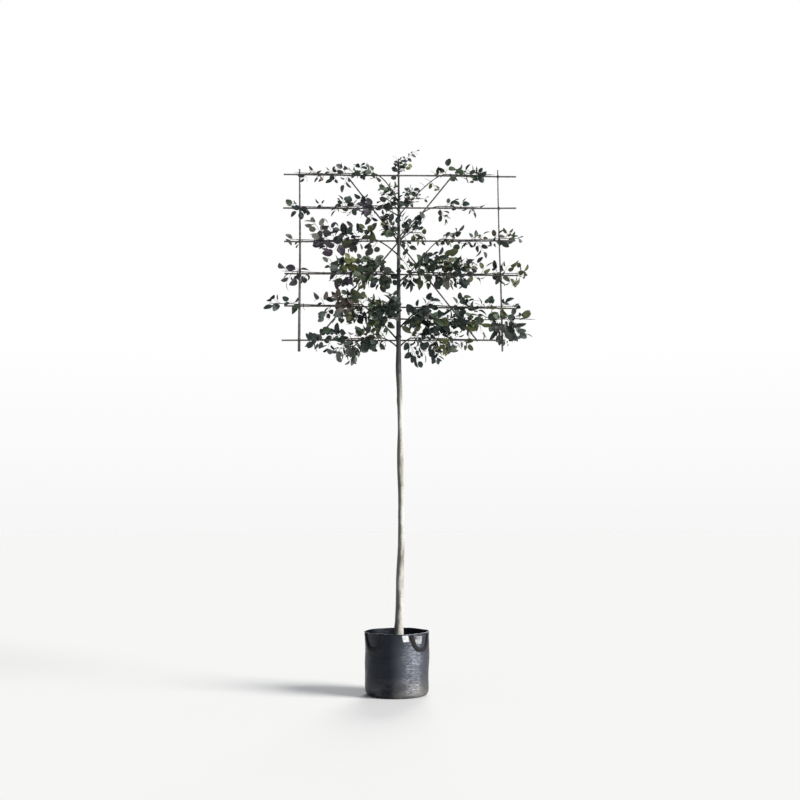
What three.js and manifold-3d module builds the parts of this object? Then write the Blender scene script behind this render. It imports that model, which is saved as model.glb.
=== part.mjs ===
// A potted espaliered crabapple: a tall clear stem whose crown is trained flat on a rack of canes,
// growing in a soft black nursery pot.
// Sizes are millimetres and +Z is up. The flat front of the crown faces -Y.
// The origin is the middle of the pot's flat underside, on which the whole plant stands.

import * as THREE from 'three';
import { ConvexGeometry } from 'three/addons/geometries/ConvexGeometry.js';
import { mergeVertices } from 'three/addons/utils/BufferGeometryUtils.js';
import Module from 'manifold-3d';

const wasm = await Module();
wasm.setup();

// Clearances
const GAP = 0.3; // between pieces that touch on the real plant
const CLEARANCE = 0.8; // that a twig or leaf keeps to limbs, canes and the edge of its own space

// Pot and soil
const POT_RADIUS = 205;
const POT_HEIGHT = 399;
const POT_BASE_RADIUS = 178;
const POT_WAIST = 202; // radius at the top of the rounded foot
const POT_BULGE = 1; // of the wall at half height, over the waist
const FOOT_HEIGHT = 39;
const FOOT_CORNER_OUT = 16; // the foot's curve, from the edge of the underside
const FOOT_CORNER_UP = 8;
const POT_WALL = 4;
const POT_SIDES = 32;
const RIM_BAND = 24;
const RIM_STEP = 1.5;
const SOIL_DEPTH = 58; // from the rim down to the soil
const SOIL_CROWN = 6; // rise of the soil towards the trunk

// Carrying handles, sewn to the pot's wall in four places
const HANDLE_SPAN = 0.78; // radians round the pot
const HANDLE_TURN = 0.85; // radians from the front or the back to the middle of a handle
const HANDLE_TOP = 8; // below the rim
const HANDLE_DROP = 92;
const HANDLE_WIDTH = 24;
const HANDLE_THICKNESS = 3;
const HANDLE_OFF = 0.7; // from the pot's wall
const HANDLE_RINGS = 12;
const HANDLE_FULLNESS = 2.6; // 2 for an arc, more for a squarer loop
const HANDLE_SPREAD = 0.8;

// Cane rack: six rows, three posts and two braces that cross on the third row
const CANE_RADIUS = 5.3;
const CANE_SIDES = 6;
const ROW_HEIGHTS = [3322, 3110, 2896, 2680, 2469, 2255];
const ROW_TILTS = [-0.009, 0, 0.003, -0.01, -0.012, 0];
const ROW_LEFT_ENDS = [-730, -733, -726, -723, -723, -739];
const ROW_RIGHT_ENDS = [768, 768, 762, 781, 774, 691];
const POST_FOOT = 2185;
const POSTS = [
  { name: 'left', foot: -627, head: -627, top: 3368, footRadius: 9, headRadius: 5 },
  { name: 'middle', foot: 11, head: 11, top: 3432, footRadius: 6.5, headRadius: 4.5 },
  { name: 'right', foot: 676, head: 650, top: 3361, footRadius: 6, headRadius: 4 },
];
const BRACES = [
  { name: 'falling', top: [-314, 3311], foot: [518, 2250], layer: 1 },
  { name: 'rising', top: [358, 3324], foot: [-538, 2236], layer: 2 },
];
const BRACE_RADIUS = 5;
const BRACE_RINGS = 6;

// Trunk: height, sideways place and radius, from the soil to the tip
const TRUNK_SIDES = 8;
const TRUNK_RINGS = 22;
const TRUNK_TIP = 3300;
const TRUNK_STATIONS = [
  [340, 7, 34],
  [470, 14.7, 26],
  [760, 19.8, 24.5],
  [950, 26.6, 21.5],
  [1240, 27, 19.5],
  [1500, 20.5, 21],
  [1700, 24, 19.5],
  [1940, 16, 18],
  [2070, 10, 18],
  [2200, 9.8, 15.5],
  [2480, 10, 13.5],
  [2900, 10.9, 10],
  [3110, 11, 8],
  [3330, 11, 5],
  [3450, 12, 3],
];
const CROWN_FOOT = 2150; // above it the trunk lies against the rows
const CROWN_LEAN = 350; // height over which it leans from the pot's middle to them

// Limbs
const LIMB_SIDES = 6;
const BOUGH_RINGS = 5;
const STEM_RINGS = 5;
const LEADER_RINGS = 2;
const LIMB_LIFT = 9; // of a limb's axis over the cane that it is tied to
const LIMB_TIP_RADIUS = 3;
const LIMB_TAPER = 0.8; // 1 for an even taper, less for a slender middle
const LIMB_EASE = 0.6; // share of the rise after which a limb bends into its level
const LIMB_WAVE = 4;
const LIMB_WAVE_LENGTH = 95;
const BOUGH_BEND = 1.6; // 1 is a straight rise to the row, 2 an arch

// Twigs and leaves
const TWIG_SHARE = 0.8; // of the real plant's side shoots, each standing for its neighbours too
const GOLDEN_TURN = 2.4; // radians
const TWIG_SIDES = 3;
const TWIG_ROOT_RADIUS = 2.2;
const TWIG_TIP_RADIUS = 2;
const TWIG_SHORTEST = 26;
const LAST_LEAF_SHARE = 0.45; // of a leaf's length, left free beyond a twig's tip
const LEAF_LENGTH = 80;
const LEAF_WIDTH = 58;
const LEAF_THICKNESS = 2.6;
const LEAF_WIDEST = 0.5; // of its length from its root
const LEAF_FACING = [0, -1, 0.4]; // most leaves show their blades to the front and the back
const LEAF_ROLL = 0.8; // of a leaf's face about that direction
const LEAF_SINK = 0.6; // of its root behind the twig's middle line
const LEAF_SIZES = [0.8, 1.12];
const LEAF_SPACING = 14;
const FIRST_LEAF = 0.8; // of the spacing, from the twig's root
const LAST_LEAF = 0.94; // of the twig's length
const LEAF_FORWARD = [0.5, 0.8]; // of a side leaf along its twig, against LEAF_SIDEWAYS across it
const LEAF_SIDEWAYS = 0.9;
const LAST_SIDEWAYS = 0.2;
const LEAF_NOD = [-0.25, 0.05]; // from hanging to lifted
const LEAST_LEAVES = 3; // on a twig, before any are skipped
const FLATTENINGS = [1, 0.45, 0.1]; // tried in turn on a leaf that would leave its space
const SHOOT_LEAN = [0.35, 0.8]; // of a twig towards its limb's tip, against 1 sideways
const SHOOT_REACH = [0.8, 1.1]; // of what its stretch allows
const SHOOT_JITTER = 0.5; // of a twig's place between its neighbours, and of its turn in radians
const CROWN_FLATNESS = 0.6; // 1 for twigs that turn evenly round a limb
const CROWN_DEPTH = 150;
const LEAST_DEPTH = 60;
const DEPTH_SHARE = 0.8; // depth of a stretch against its reach up and down
const SPACE_BEFORE = 40; // of a mass's space, ahead of its first twig
const FIRST_SEED = 1000;
const SEED_STEP = 37;

// Limbs of the crown, the left ones first. A limb leaves the trunk at the height leave, comes up
// to its level at the distance turn from the middle line, and ends at the distance end.
// Its bough is bare as far as start, and its mass of foliage follows. Each stretch of the mass runs
// on to the distance "to", with the reach up and down from the level and its number of twigs.
const LIMBS = [
  {
    name: 'left_1', side: -1, row: 0, leave: 3138, turn: 166, bend: 2, radius: 4, start: 112, end: 640,
    stretches: [
      { to: 262, up: 70, down: 25, twigs: 3 },
      { to: 397, up: 60, down: 100, twigs: 4 },
      { to: 545, up: 32, down: 55, twigs: 6 },
      { to: 668, up: 70, down: 60, twigs: 3 },
    ],
  },
  {
    name: 'left_2', side: -1, row: 1, leave: 3055, turn: 135, radius: 4, start: 122, end: 690,
    stretches: [
      { to: 250, up: 65, down: 110, twigs: 5 },
      { to: 390, up: 75, down: 40, twigs: 4 },
      { to: 537, up: 45, down: 56, twigs: 3 },
      { to: 716, up: 50, down: 80, twigs: 4 },
    ],
  },
  {
    name: 'left_3', side: -1, row: 2, leave: 2799, turn: 160, radius: 4.5, start: 109, end: 650,
    stretches: [
      { to: 262, up: 92, down: 95, twigs: 5 },
      { to: 493, up: 150, down: 95, twigs: 9 },
      { to: 537, up: 148, down: 40, twigs: 2 },
      { to: 712, up: 126, down: 35, twigs: 5 },
    ],
  },
  {
    name: 'left_4', side: -1, row: 3, leave: 2655, turn: 100, radius: 5.5, start: 58, end: 720,
    stretches: [
      { to: 262, up: 110, down: 100, twigs: 11 },
      { to: 403, up: 110, down: 100, twigs: 8 },
      { to: 537, up: 90, down: 55, twigs: 4 },
      { to: 742, up: 18, down: 108, twigs: 5 },
    ],
  },
  {
    name: 'left_5', side: -1, row: 4, leave: 2248, turn: 230, bend: 1.2, radius: 5.5, start: 200, end: 790,
    stretches: [
      { to: 333, up: 100, down: 128, twigs: 8 },
      { to: 493, up: 95, down: 112, twigs: 7 },
      { to: 570, up: 80, down: 70, twigs: 3 },
      { to: 717, up: 20, down: 38, twigs: 3 },
      { to: 840, up: 85, down: 30, twigs: 2 },
    ],
  },
  {
    name: 'left_low', side: -1, level: 2392, leave: 2390, turn: 70, radius: 4, start: 38, end: 170,
    front: 20, stretches: [{ to: 192, up: 175, down: 55, twigs: 9 }],
  },
  {
    name: 'left_6', side: -1, row: 5, leave: 2203, turn: 90, radius: 5, start: 58, end: 540,
    stretches: [
      { to: 198, up: 70, down: 78, twigs: 5 },
      { to: 403, up: 72, down: 190, twigs: 9 },
      { to: 506, up: 84, down: 80, twigs: 3 },
      { to: 576, up: 20, down: 62, twigs: 2 },
    ],
  },
  {
    name: 'left_upper_spur', side: -1, level: 3160, leave: 3085, turn: 60, radius: 3.2, start: 18, end: 90,
    stretches: [{ to: 118, up: 98, down: 60, twigs: 5 }],
  },
  {
    name: 'left_middle_spur', side: -1, level: 2985, leave: 2925, turn: 60, radius: 3.2, start: 20, end: 85,
    stretches: [{ to: 106, up: 108, down: 58, twigs: 5 }],
  },
  {
    name: 'right_1', side: 1, row: 0, leave: 3055, turn: 314, bend: 1.5, radius: 4, start: 210, end: 605,
    stretches: [
      { to: 295, up: 40, down: 85, twigs: 2 },
      { to: 422, up: 85, down: 28, twigs: 4 },
      { to: 518, up: 65, down: 42, twigs: 5 },
      { to: 630, up: 35, down: 75, twigs: 4 },
    ],
  },
  {
    name: 'right_2', side: 1, row: 1, leave: 2914, turn: 282, bend: 1.9, radius: 4, start: 250, end: 520,
    stretches: [
      { to: 333, up: 65, down: 100, twigs: 4 },
      { to: 429, up: 28, down: 45, twigs: 3 },
      { to: 550, up: 60, down: 60, twigs: 5 },
    ],
  },
  {
    name: 'right_3', side: 1, row: 2, leave: 2588, turn: 282, bend: 1.2, radius: 4.2, start: 258, end: 765,
    front: 18, stretches: [
      { to: 333, up: 50, down: 35, twigs: 3 },
      { to: 455, up: 80, down: 60, twigs: 4 },
      { to: 582, up: 55, down: 120, twigs: 5 },
      { to: 704, up: 60, down: 35, twigs: 4 },
      { to: 802, up: 50, down: 32, twigs: 3 },
    ],
  },
  {
    name: 'right_4', side: 1, row: 3, leave: 2626, turn: 109, radius: 5.5, start: 77, end: 790,
    stretches: [
      { to: 237, up: 148, down: 100, twigs: 10 },
      { to: 333, up: 148, down: 95, twigs: 6 },
      { to: 455, up: 120, down: 95, twigs: 6 },
      { to: 582, up: 85, down: 42, twigs: 4 },
      { to: 736, up: 98, down: 85, twigs: 5 },
      { to: 842, up: 62, down: 80, twigs: 4 },
    ],
  },
  {
    name: 'right_5', side: 1, row: 4, leave: 2325, turn: 211, radius: 5, start: 152, end: 750,
    stretches: [
      { to: 230, up: 85, down: 28, twigs: 3 },
      { to: 333, up: 38, down: 18, twigs: 2 },
      { to: 474, up: 88, down: 20, twigs: 5 },
      { to: 653, up: 60, down: 20, twigs: 4 },
      { to: 782, up: 50, down: 58, twigs: 5 },
    ],
  },
  {
    name: 'right_low', side: 1, level: 2384, leave: 2392, turn: 90, radius: 5, start: 58, end: 860,
    front: 20, stretches: [
      { to: 112, up: 178, down: 52, twigs: 4 },
      { to: 282, up: 55, down: 52, twigs: 7 },
      { to: 500, up: 55, down: 52, twigs: 7 },
      { to: 582, up: 50, down: 118, twigs: 4 },
      { to: 749, up: 22, down: 182, twigs: 7 },
      { to: 902, up: 24, down: 112, twigs: 4 },
    ],
  },
  {
    name: 'right_6', side: 1, row: 5, leave: 2203, turn: 90, radius: 5, start: 58, end: 470,
    stretches: [
      { to: 320, up: 70, down: 190, twigs: 13 },
      { to: 498, up: 70, down: 76, twigs: 6 },
    ],
  },
  {
    name: 'right_upper_spur', side: 1, level: 3160, leave: 3105, turn: 70, radius: 3.2, start: 40, end: 165,
    front: 18, stretches: [
      { to: 95, up: 98, down: 45, twigs: 4 },
      { to: 196, up: 60, down: 46, twigs: 2 },
    ],
  },
  {
    name: 'right_middle_spur', side: 1, level: 2945, leave: 2885, turn: 90, radius: 3.2, start: 42, end: 150,
    stretches: [{ to: 182, up: 150, down: 85, twigs: 7 }],
  },
];

// Leader: the foliage that the trunk's tip carries
const LEADER = {
  foot: TRUNK_TIP, tip: 3410, twigs: 5, low: 3268, high: 3458, left: -60, right: 168, seed: 77,
  lift: 0.7, // of its twigs upwards, against 1 sideways
};

// Colours
const BARK = new THREE.MeshStandardMaterial({ color: 0x8a8678, roughness: 0.85 });
const YOUNG_BARK = new THREE.MeshStandardMaterial({ color: 0x5a4f45, roughness: 0.8 });
const LEAF_GREEN = new THREE.MeshStandardMaterial({ color: 0x2e3a2c, roughness: 0.6 });
const CANE = new THREE.MeshStandardMaterial({ color: 0x5f5b52, roughness: 0.75 });
const POT_BLACK = new THREE.MeshStandardMaterial({ color: 0x1b1c20, roughness: 0.45 });
const WEBBING = new THREE.MeshStandardMaterial({ color: 0x121316, roughness: 0.6 });
const SOIL = new THREE.MeshStandardMaterial({ color: 0x2b211a, roughness: 0.95 });

const RIGHT = new THREE.Vector3(1, 0, 0);
const BACK = new THREE.Vector3(0, 1, 0);
const UP = new THREE.Vector3(0, 0, 1);

const tree = new THREE.Group();
const { lerp, clamp, smoothstep } = THREE.MathUtils;

function addNode(name, geometry, material) {
  const mesh = new THREE.Mesh(geometry, material);
  mesh.name = name;
  tree.add(mesh);
}

// A closed geometry as a solid that can be joined and cut.
function solidFrom(geometry) {
  const bare = geometry.clone();
  bare.deleteAttribute('normal');
  bare.deleteAttribute('uv');
  const merged = mergeVertices(bare);
  return new wasm.Manifold(new wasm.Mesh({
    numProp: 3,
    vertProperties: merged.getAttribute('position').array,
    triVerts: new Uint32Array(merged.index.array),
  }));
}

function geometryFrom(solid) {
  const mesh = solid.getMesh();
  const geometry = new THREE.BufferGeometry();
  geometry.setAttribute('position', new THREE.BufferAttribute(mesh.vertProperties, mesh.numProp));
  geometry.setIndex(new THREE.BufferAttribute(mesh.triVerts, 1));
  geometry.computeVertexNormals();
  return geometry;
}

// Numbers between 0 and 1 that are the same in every run, by the multiplicative rule of Lehmer.
function seededRandom(seed) {
  const factor = 16807;
  const prime = 2147483647;
  let state = seed;
  return () => {
    state = (state * factor) % prime;
    return state / prime;
  };
}

// A closed tube. frameAt gives each ring's centre and its two half-axes, scaled to its size.
function sweptTube(sides, rings, frameAt, firstCorner = 0) {
  const tube = new THREE.CylinderGeometry(1, 1, 1, sides, rings, false, firstCorner);
  const position = tube.getAttribute('position');
  const point = new THREE.Vector3();
  for (let i = 0; i < position.count; i += 1) {
    const ring = Math.round((position.getY(i) + 0.5) * rings);
    const { centre, across, out } = frameAt(ring / rings);
    point.copy(centre);
    point.addScaledVector(across, position.getX(i));
    point.addScaledVector(out, position.getZ(i));
    position.setXYZ(i, point.x, point.y, point.z);
  }
  return tube;
}

// A round tube along a path. A corner of each ring points along the reference direction.
function roundTube(sides, rings, pointAt, radiusAt, reference) {
  const step = 1 / pointAt(0).distanceTo(pointAt(1));
  return sweptTube(sides, rings, (t) => {
    const along = pointAt(t + step).sub(pointAt(t - step)).normalize();
    const out = reference.clone().addScaledVector(along, -reference.dot(along)).normalize();
    const across = along.clone().cross(out);
    const radius = radiusAt(t);
    return {
      centre: pointAt(t),
      across: across.multiplyScalar(radius),
      out: out.multiplyScalar(radius),
    };
  });
}

// A smooth curve through stations of one value each, by the Catmull-Rom rule.
function throughStations(stations, column, height) {
  const last = stations.length - 1;
  let i = 0;
  while (i < last - 1 && stations[i + 1][0] < height) i += 1;
  const [low, high] = [stations[i], stations[i + 1]];
  const before = stations[Math.max(0, i - 1)];
  const after = stations[Math.min(last, i + 2)];
  const u = clamp((height - low[0]) / (high[0] - low[0]), 0, 1);
  const lowSlope = (high[column] - before[column]) / 2;
  const highSlope = (after[column] - low[column]) / 2;
  const rise = high[column] - low[column];
  const cubic = lowSlope + highSlope - 2 * rise;
  const square = 3 * rise - 2 * lowSlope - highSlope;
  return ((cubic * u + square) * u + lowSlope) * u + low[column];
}

// Trunk

function trunkRadius(height) {
  return throughStations(TRUNK_STATIONS, 2, height);
}

function trunkPoint(height) {
  const lean = smoothstep(height, CROWN_FOOT - CROWN_LEAN, CROWN_FOOT);
  return new THREE.Vector3(
    throughStations(TRUNK_STATIONS, 1, height),
    -lean * (trunkRadius(height) + GAP),
    height,
  );
}

// A length of the trunk, cut level at both ends.
function trunkTube(from, to, rings, growth) {
  return sweptTube(TRUNK_SIDES, rings, (t) => {
    const height = lerp(from, to, t);
    const radius = trunkRadius(height) + growth;
    return {
      centre: trunkPoint(height),
      across: RIGHT.clone().multiplyScalar(radius),
      out: BACK.clone().multiplyScalar(-radius),
    };
  });
}

function trunkGeometry(growth) {
  return trunkTube(TRUNK_STATIONS[0][0], TRUNK_TIP, TRUNK_RINGS, growth);
}

// Pot, handles and soil

// A turned solid whose axis is +Z, from a profile of [radius, height] pairs.
function turned(profile, sides) {
  const points = profile.map(([radius, height]) => new THREE.Vector2(radius, height));
  return new THREE.LatheGeometry(points, sides).rotateX(Math.PI / 2);
}

function potGeometry() {
  const inside = POT_RADIUS - RIM_STEP - POT_WALL;
  return turned([
    [0, 0],
    [POT_BASE_RADIUS, 0],
    [POT_BASE_RADIUS + FOOT_CORNER_OUT, FOOT_CORNER_UP],
    [POT_WAIST, FOOT_HEIGHT],
    [POT_WAIST + POT_BULGE, POT_HEIGHT / 2],
    [POT_RADIUS - RIM_STEP, POT_HEIGHT - RIM_BAND - RIM_STEP],
    [POT_RADIUS, POT_HEIGHT - RIM_BAND],
    [POT_RADIUS, POT_HEIGHT],
    [inside, POT_HEIGHT],
    [POT_WAIST + POT_BULGE - POT_WALL, POT_HEIGHT / 2],
    [POT_WAIST - POT_WALL, FOOT_HEIGHT],
    [POT_BASE_RADIUS, POT_WALL],
    [0, POT_WALL],
  ], POT_SIDES);
}

function soilGeometry() {
  const top = POT_HEIGHT - SOIL_DEPTH;
  const clear = POT_WALL + 2 * GAP;
  return turned([
    [0, POT_WALL + GAP],
    [POT_BASE_RADIUS - clear, POT_WALL + GAP],
    [POT_WAIST - clear, FOOT_HEIGHT + GAP],
    [POT_WAIST + POT_BULGE - clear, POT_HEIGHT / 2],
    [POT_WAIST + POT_BULGE - clear, top - SOIL_CROWN],
    [TRUNK_STATIONS[0][2], TRUNK_STATIONS[0][0] - GAP],
    [0, TRUNK_STATIONS[0][0] - GAP],
  ], POT_SIDES);
}

// A strap that hangs in a flat loop on the pot's wall, round the direction middle.
function handleGeometry(middle) {
  const radius = POT_RADIUS + HANDLE_OFF + HANDLE_THICKNESS / 2;
  const top = POT_HEIGHT - HANDLE_TOP;
  const pointOn = (angle, height, distance) => new THREE.Vector3(
    distance * Math.sin(angle),
    -distance * Math.cos(angle),
    height,
  );
  const centreAt = (t) => {
    const swing = 2 * t - 1;
    const drop = HANDLE_DROP * (1 - Math.abs(swing) ** HANDLE_FULLNESS);
    const angle = middle + (HANDLE_SPAN / 2) * Math.sign(swing) * Math.abs(swing) ** HANDLE_SPREAD;
    return { angle, height: top - drop };
  };
  const step = 0.02;
  return sweptTube(4, HANDLE_RINGS, (t) => {
    const here = centreAt(t);
    const before = centreAt(Math.max(0, t - step));
    const after = centreAt(Math.min(1, t + step));
    const along = pointOn(after.angle, after.height, radius)
      .sub(pointOn(before.angle, before.height, radius))
      .normalize();
    const out = pointOn(here.angle, 0, 1);
    const across = along.clone().cross(out).normalize();
    return {
      centre: pointOn(here.angle, here.height, radius),
      across: across.multiplyScalar(HANDLE_WIDTH * Math.SQRT1_2),
      out: out.multiplyScalar(HANDLE_THICKNESS * Math.SQRT1_2),
    };
  }, Math.PI / 4);
}

// Cane rack: the rows lie behind the trunk, the posts behind the rows and the braces against both

const POST_FRONT = 2 * CANE_RADIUS + GAP;

function rowHeight(row, x) {
  return ROW_HEIGHTS[row] + ROW_TILTS[row] * x;
}

function rowGeometry(row, growth) {
  const pointAt = (t) => {
    const x = lerp(ROW_LEFT_ENDS[row], ROW_RIGHT_ENDS[row], t);
    return new THREE.Vector3(x, CANE_RADIUS, rowHeight(row, x));
  };
  return roundTube(CANE_SIDES, 1, pointAt, () => CANE_RADIUS + growth, BACK);
}

function postGeometry(post, growth) {
  const radiusAt = (t) => lerp(post.footRadius, post.headRadius, t);
  const pointAt = (t) => new THREE.Vector3(
    lerp(post.foot, post.head, t),
    POST_FRONT + radiusAt(t),
    lerp(POST_FOOT, post.top, t),
  );
  return roundTube(CANE_SIDES, 1, pointAt, (t) => radiusAt(t) + growth, BACK);
}

// A brace is bowed back behind the middle post where it crosses it, and lies on the rows at its ends.
function braceGeometry(brace, growth) {
  const middlePost = POSTS[1];
  const nearest = POST_FRONT + BRACE_RADIUS;
  const pitch = 2 * BRACE_RADIUS + GAP;
  const bow = 2 * middlePost.footRadius + GAP + (brace.layer - 1) * pitch;
  const crossing = (middlePost.foot - brace.top[0]) / (brace.foot[0] - brace.top[0]);
  const pointAt = (t) => {
    const away = t < crossing ? 1 - t / crossing : (t - crossing) / (1 - crossing);
    return new THREE.Vector3(
      lerp(brace.top[0], brace.foot[0], t),
      nearest + bow * (1 - away ** 2),
      lerp(brace.top[1], brace.foot[1], t),
    );
  };
  return roundTube(CANE_SIDES, BRACE_RINGS, pointAt, () => BRACE_RADIUS + growth, BACK);
}

// Limbs, each worked out from its distance from the middle line

function limbLevel(limb, distance) {
  if (limb.row === undefined) return limb.level;
  return rowHeight(limb.row, limb.side * distance) + LIMB_LIFT;
}

function limbRadius(limb, distance) {
  return lerp(limb.radius, LIMB_TIP_RADIUS, clamp(distance / limb.end, 0, 1) ** LIMB_TAPER);
}

function limbPoint(limb, distance) {
  const root = trunkPoint(limb.leave);
  const rootDistance = root.x * limb.side;
  const level = limbLevel(limb, limb.turn);
  const u = clamp((distance - rootDistance) / (limb.turn - rootDistance), 0, 1);
  const risen = 1 - (1 - u) ** (limb.bend ?? BOUGH_BEND);
  const ease = smoothstep(u, LIMB_EASE, 1);
  const wave = LIMB_WAVE * Math.sin(distance / LIMB_WAVE_LENGTH) * ease;
  const run = (limbLevel(limb, distance) - level) * ease;
  const ahead = limb.row === undefined ? smoothstep(u, 0, LIMB_EASE) : Math.sin(Math.PI * u);
  return new THREE.Vector3(
    limb.side * distance,
    -(limbRadius(limb, distance) + GAP) - (limb.front ?? 0) * ahead,
    lerp(limb.leave, level, risen) + run + wave,
  );
}

function limbTube(limb, from, to, rings, growth) {
  const distanceAt = (t) => lerp(from, to, t);
  return roundTube(
    LIMB_SIDES,
    rings,
    (t) => limbPoint(limb, distanceAt(t)),
    (t) => limbRadius(limb, distanceAt(t)) + growth,
    BACK,
  );
}

function rootDistance(limb) {
  return trunkPoint(limb.leave).x * limb.side;
}

// Bough: the bare part of a limb, cut to the trunk's side
function boughSolid(limb, trunkSpace, growth) {
  const tube = limbTube(limb, rootDistance(limb), limb.start, BOUGH_RINGS, growth);
  return solidFrom(tube).subtract(trunkSpace);
}

// Foliage

// The axis that is most nearly square to a direction.
function squareAxis(direction) {
  const axes = [RIGHT, BACK, UP];
  return axes.reduce((best, axis) => (
    Math.abs(axis.dot(direction)) < Math.abs(best.dot(direction)) ? axis : best
  ));
}

// A three-sided twig's corners, from its root to its tip.
function twigCorners(root, tip) {
  const along = tip.clone().sub(root).normalize();
  const out = squareAxis(along).clone().cross(along).normalize();
  const third = (2 * Math.PI) / TWIG_SIDES;
  return [[root, TWIG_ROOT_RADIUS], [tip, TWIG_TIP_RADIUS]].flatMap(([centre, radius]) => (
    Array.from({ length: TWIG_SIDES }, (_, k) => (
      out.clone().applyAxisAngle(along, k * third).multiplyScalar(radius).add(centre)
    ))
  ));
}

// A leaf's corners: its root and tip, and its two edges, which are folded up towards the normal.
function leafCorners(root, direction, normal, size) {
  const across = direction.clone().cross(normal).normalize();
  const face = across.clone().cross(direction).multiplyScalar(LEAF_THICKNESS);
  const half = across.multiplyScalar((LEAF_WIDTH / 2) * size);
  const middle = root.clone().addScaledVector(direction, LEAF_WIDEST * LEAF_LENGTH * size).add(face);
  return [
    root,
    middle.clone().add(half),
    middle.clone().sub(half),
    root.clone().addScaledVector(direction, LEAF_LENGTH * size),
  ];
}

function boxesMeet(a, b) {
  return [0, 1, 2].every((k) => a.min[k] < b.max[k] && b.min[k] < a.max[k]);
}

// A solid with its box, so that most pairs are told apart without a boolean.
function boxed(solid) {
  return { solid, box: solid.boundingBox() };
}

function hullOf(corners) {
  return boxed(solidFrom(new ConvexGeometry(corners)));
}

function meets(one, others) {
  return others.some((other) => (
    boxesMeet(one.box, other.box) && !one.solid.intersect(other.solid).isEmpty()
  ));
}

// The largest body of a solid: it leaves out loose scraps, and the walls of any sealed hollow.
function largestBody(solid) {
  return solid.decompose().reduce((best, body) => (body.volume() > best.volume() ? body : best));
}

// Leaf number k of a twig. Leaves stand on its two sides by turns, and the last one at its tip.
function hungLeaf(shoot, tip, k, leaves, [tilt, spread, size, roll, nod], flattening) {
  const isLast = k === leaves - 1;
  const place = isLast ? LAST_LEAF : (k + FIRST_LEAF) / leaves;
  const sideways = shoot.direction.clone().cross(squareAxis(shoot.direction)).normalize();
  sideways.applyAxisAngle(shoot.direction, shoot.turn + (k % 2) * Math.PI + (tilt - 0.5));
  const direction = shoot.direction.clone().multiplyScalar(isLast ? 1 : lerp(...LEAF_FORWARD, spread));
  direction.addScaledVector(sideways, isLast ? LAST_SIDEWAYS : LEAF_SIDEWAYS);
  direction.addScaledVector(UP, lerp(...LEAF_NOD, nod));
  direction.z *= flattening;
  direction.normalize();
  const normal = new THREE.Vector3(...LEAF_FACING)
    .addScaledVector(RIGHT, LEAF_ROLL * Math.cos(2 * Math.PI * roll))
    .addScaledVector(UP, LEAF_ROLL * Math.sin(2 * Math.PI * roll));
  const base = shoot.root.clone().lerp(tip, place).addScaledVector(direction, -LEAF_SINK);
  return leafCorners(base, direction, normal, lerp(...LEAF_SIZES, size));
}

// Grows a mass of foliage round a stem. Twigs turn round the stem by the golden angle and bear
// leaves by turns on either side. What would leave the mass's space or touch a limb is skipped.
function growMass(stem, shoots, holds, obstacles, random) {
  const pieces = [boxed(stem)];
  for (const shoot of shoots) {
    const length = Math.max(TWIG_SHORTEST, shoot.reach - LAST_LEAF_SHARE * LEAF_LENGTH);
    const tip = shoot.root.clone().addScaledVector(shoot.direction, length);
    const twig = hullOf(twigCorners(shoot.root, tip));
    const leaves = Math.max(LEAST_LEAVES, Math.round(length / LEAF_SPACING));
    const draws = Array.from({ length: 5 * leaves }, () => random());
    if (meets(twig, obstacles) || meets(twig, pieces.slice(1)) || !holds(tip)) continue;
    const hung = [];
    for (let k = 0; k < leaves; k += 1) {
      const traits = draws.slice(5 * k, 5 * k + 5);
      for (const flattening of FLATTENINGS) {
        const corners = hungLeaf(shoot, tip, k, leaves, traits, flattening);
        if (!corners.every(holds)) continue;
        const leaf = hullOf(corners);
        if (meets(leaf, obstacles) || meets(leaf, pieces) || meets(leaf, hung)) continue;
        hung.push(leaf);
        break;
      }
    }
    if (hung.length) pieces.push(twig, ...hung);
  }
  return largestBody(pieces.reduce((joined, piece) => joined.add(piece.solid), pieces[0].solid));
}

// The places, directions and reaches of the twigs along a limb, stretch by stretch.
function limbShoots(limb, random) {
  const shoots = [];
  let from = limb.start;
  let turn = random() * 2 * Math.PI;
  for (const stretch of limb.stretches) {
    const to = Math.min(stretch.to, limb.end);
    const depth = clamp(DEPTH_SHARE * (stretch.up + stretch.down), LEAST_DEPTH, CROWN_DEPTH);
    const twigs = Math.ceil(stretch.twigs * TWIG_SHARE);
    for (let k = 0; k < twigs; k += 1) {
      const distance = lerp(from, to, (k + 0.5 + SHOOT_JITTER * (random() - 0.5)) / twigs);
      turn += GOLDEN_TURN + SHOOT_JITTER * (random() - 0.5);
      const outward = limbPoint(limb, distance + 5).sub(limbPoint(limb, distance - 5)).normalize();
      const back = CROWN_FLATNESS * Math.sin(turn);
      const rise = Math.sign(Math.cos(turn)) * Math.sqrt(Math.abs(Math.cos(turn)));
      const upward = rise > 0 ? stretch.up : stretch.down;
      const reach = Math.hypot(back, rise) / Math.hypot(back / depth, rise / upward);
      const direction = outward.multiplyScalar(lerp(...SHOOT_LEAN, random()));
      direction.addScaledVector(BACK, back).addScaledVector(UP, rise).normalize();
      shoots.push({
        root: limbPoint(limb, distance),
        direction,
        reach: reach * lerp(...SHOOT_REACH, random()),
        turn,
      });
    }
    from = stretch.to;
  }
  return shoots;
}

// Whether a point is in a limb's own space, which is as high and low as its stretch there.
function limbHolds(limb, trunkEdge) {
  return (point) => {
    const distance = point.x * limb.side;
    const stretch = limb.stretches.find((one) => distance < one.to - CLEARANCE);
    if (!stretch || distance < trunkEdge) return false;
    const height = point.z - limbLevel(limb, clamp(distance, limb.turn, limb.end));
    return height < stretch.up && height > -stretch.down && Math.abs(point.y) < CROWN_DEPTH;
  };
}

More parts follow.
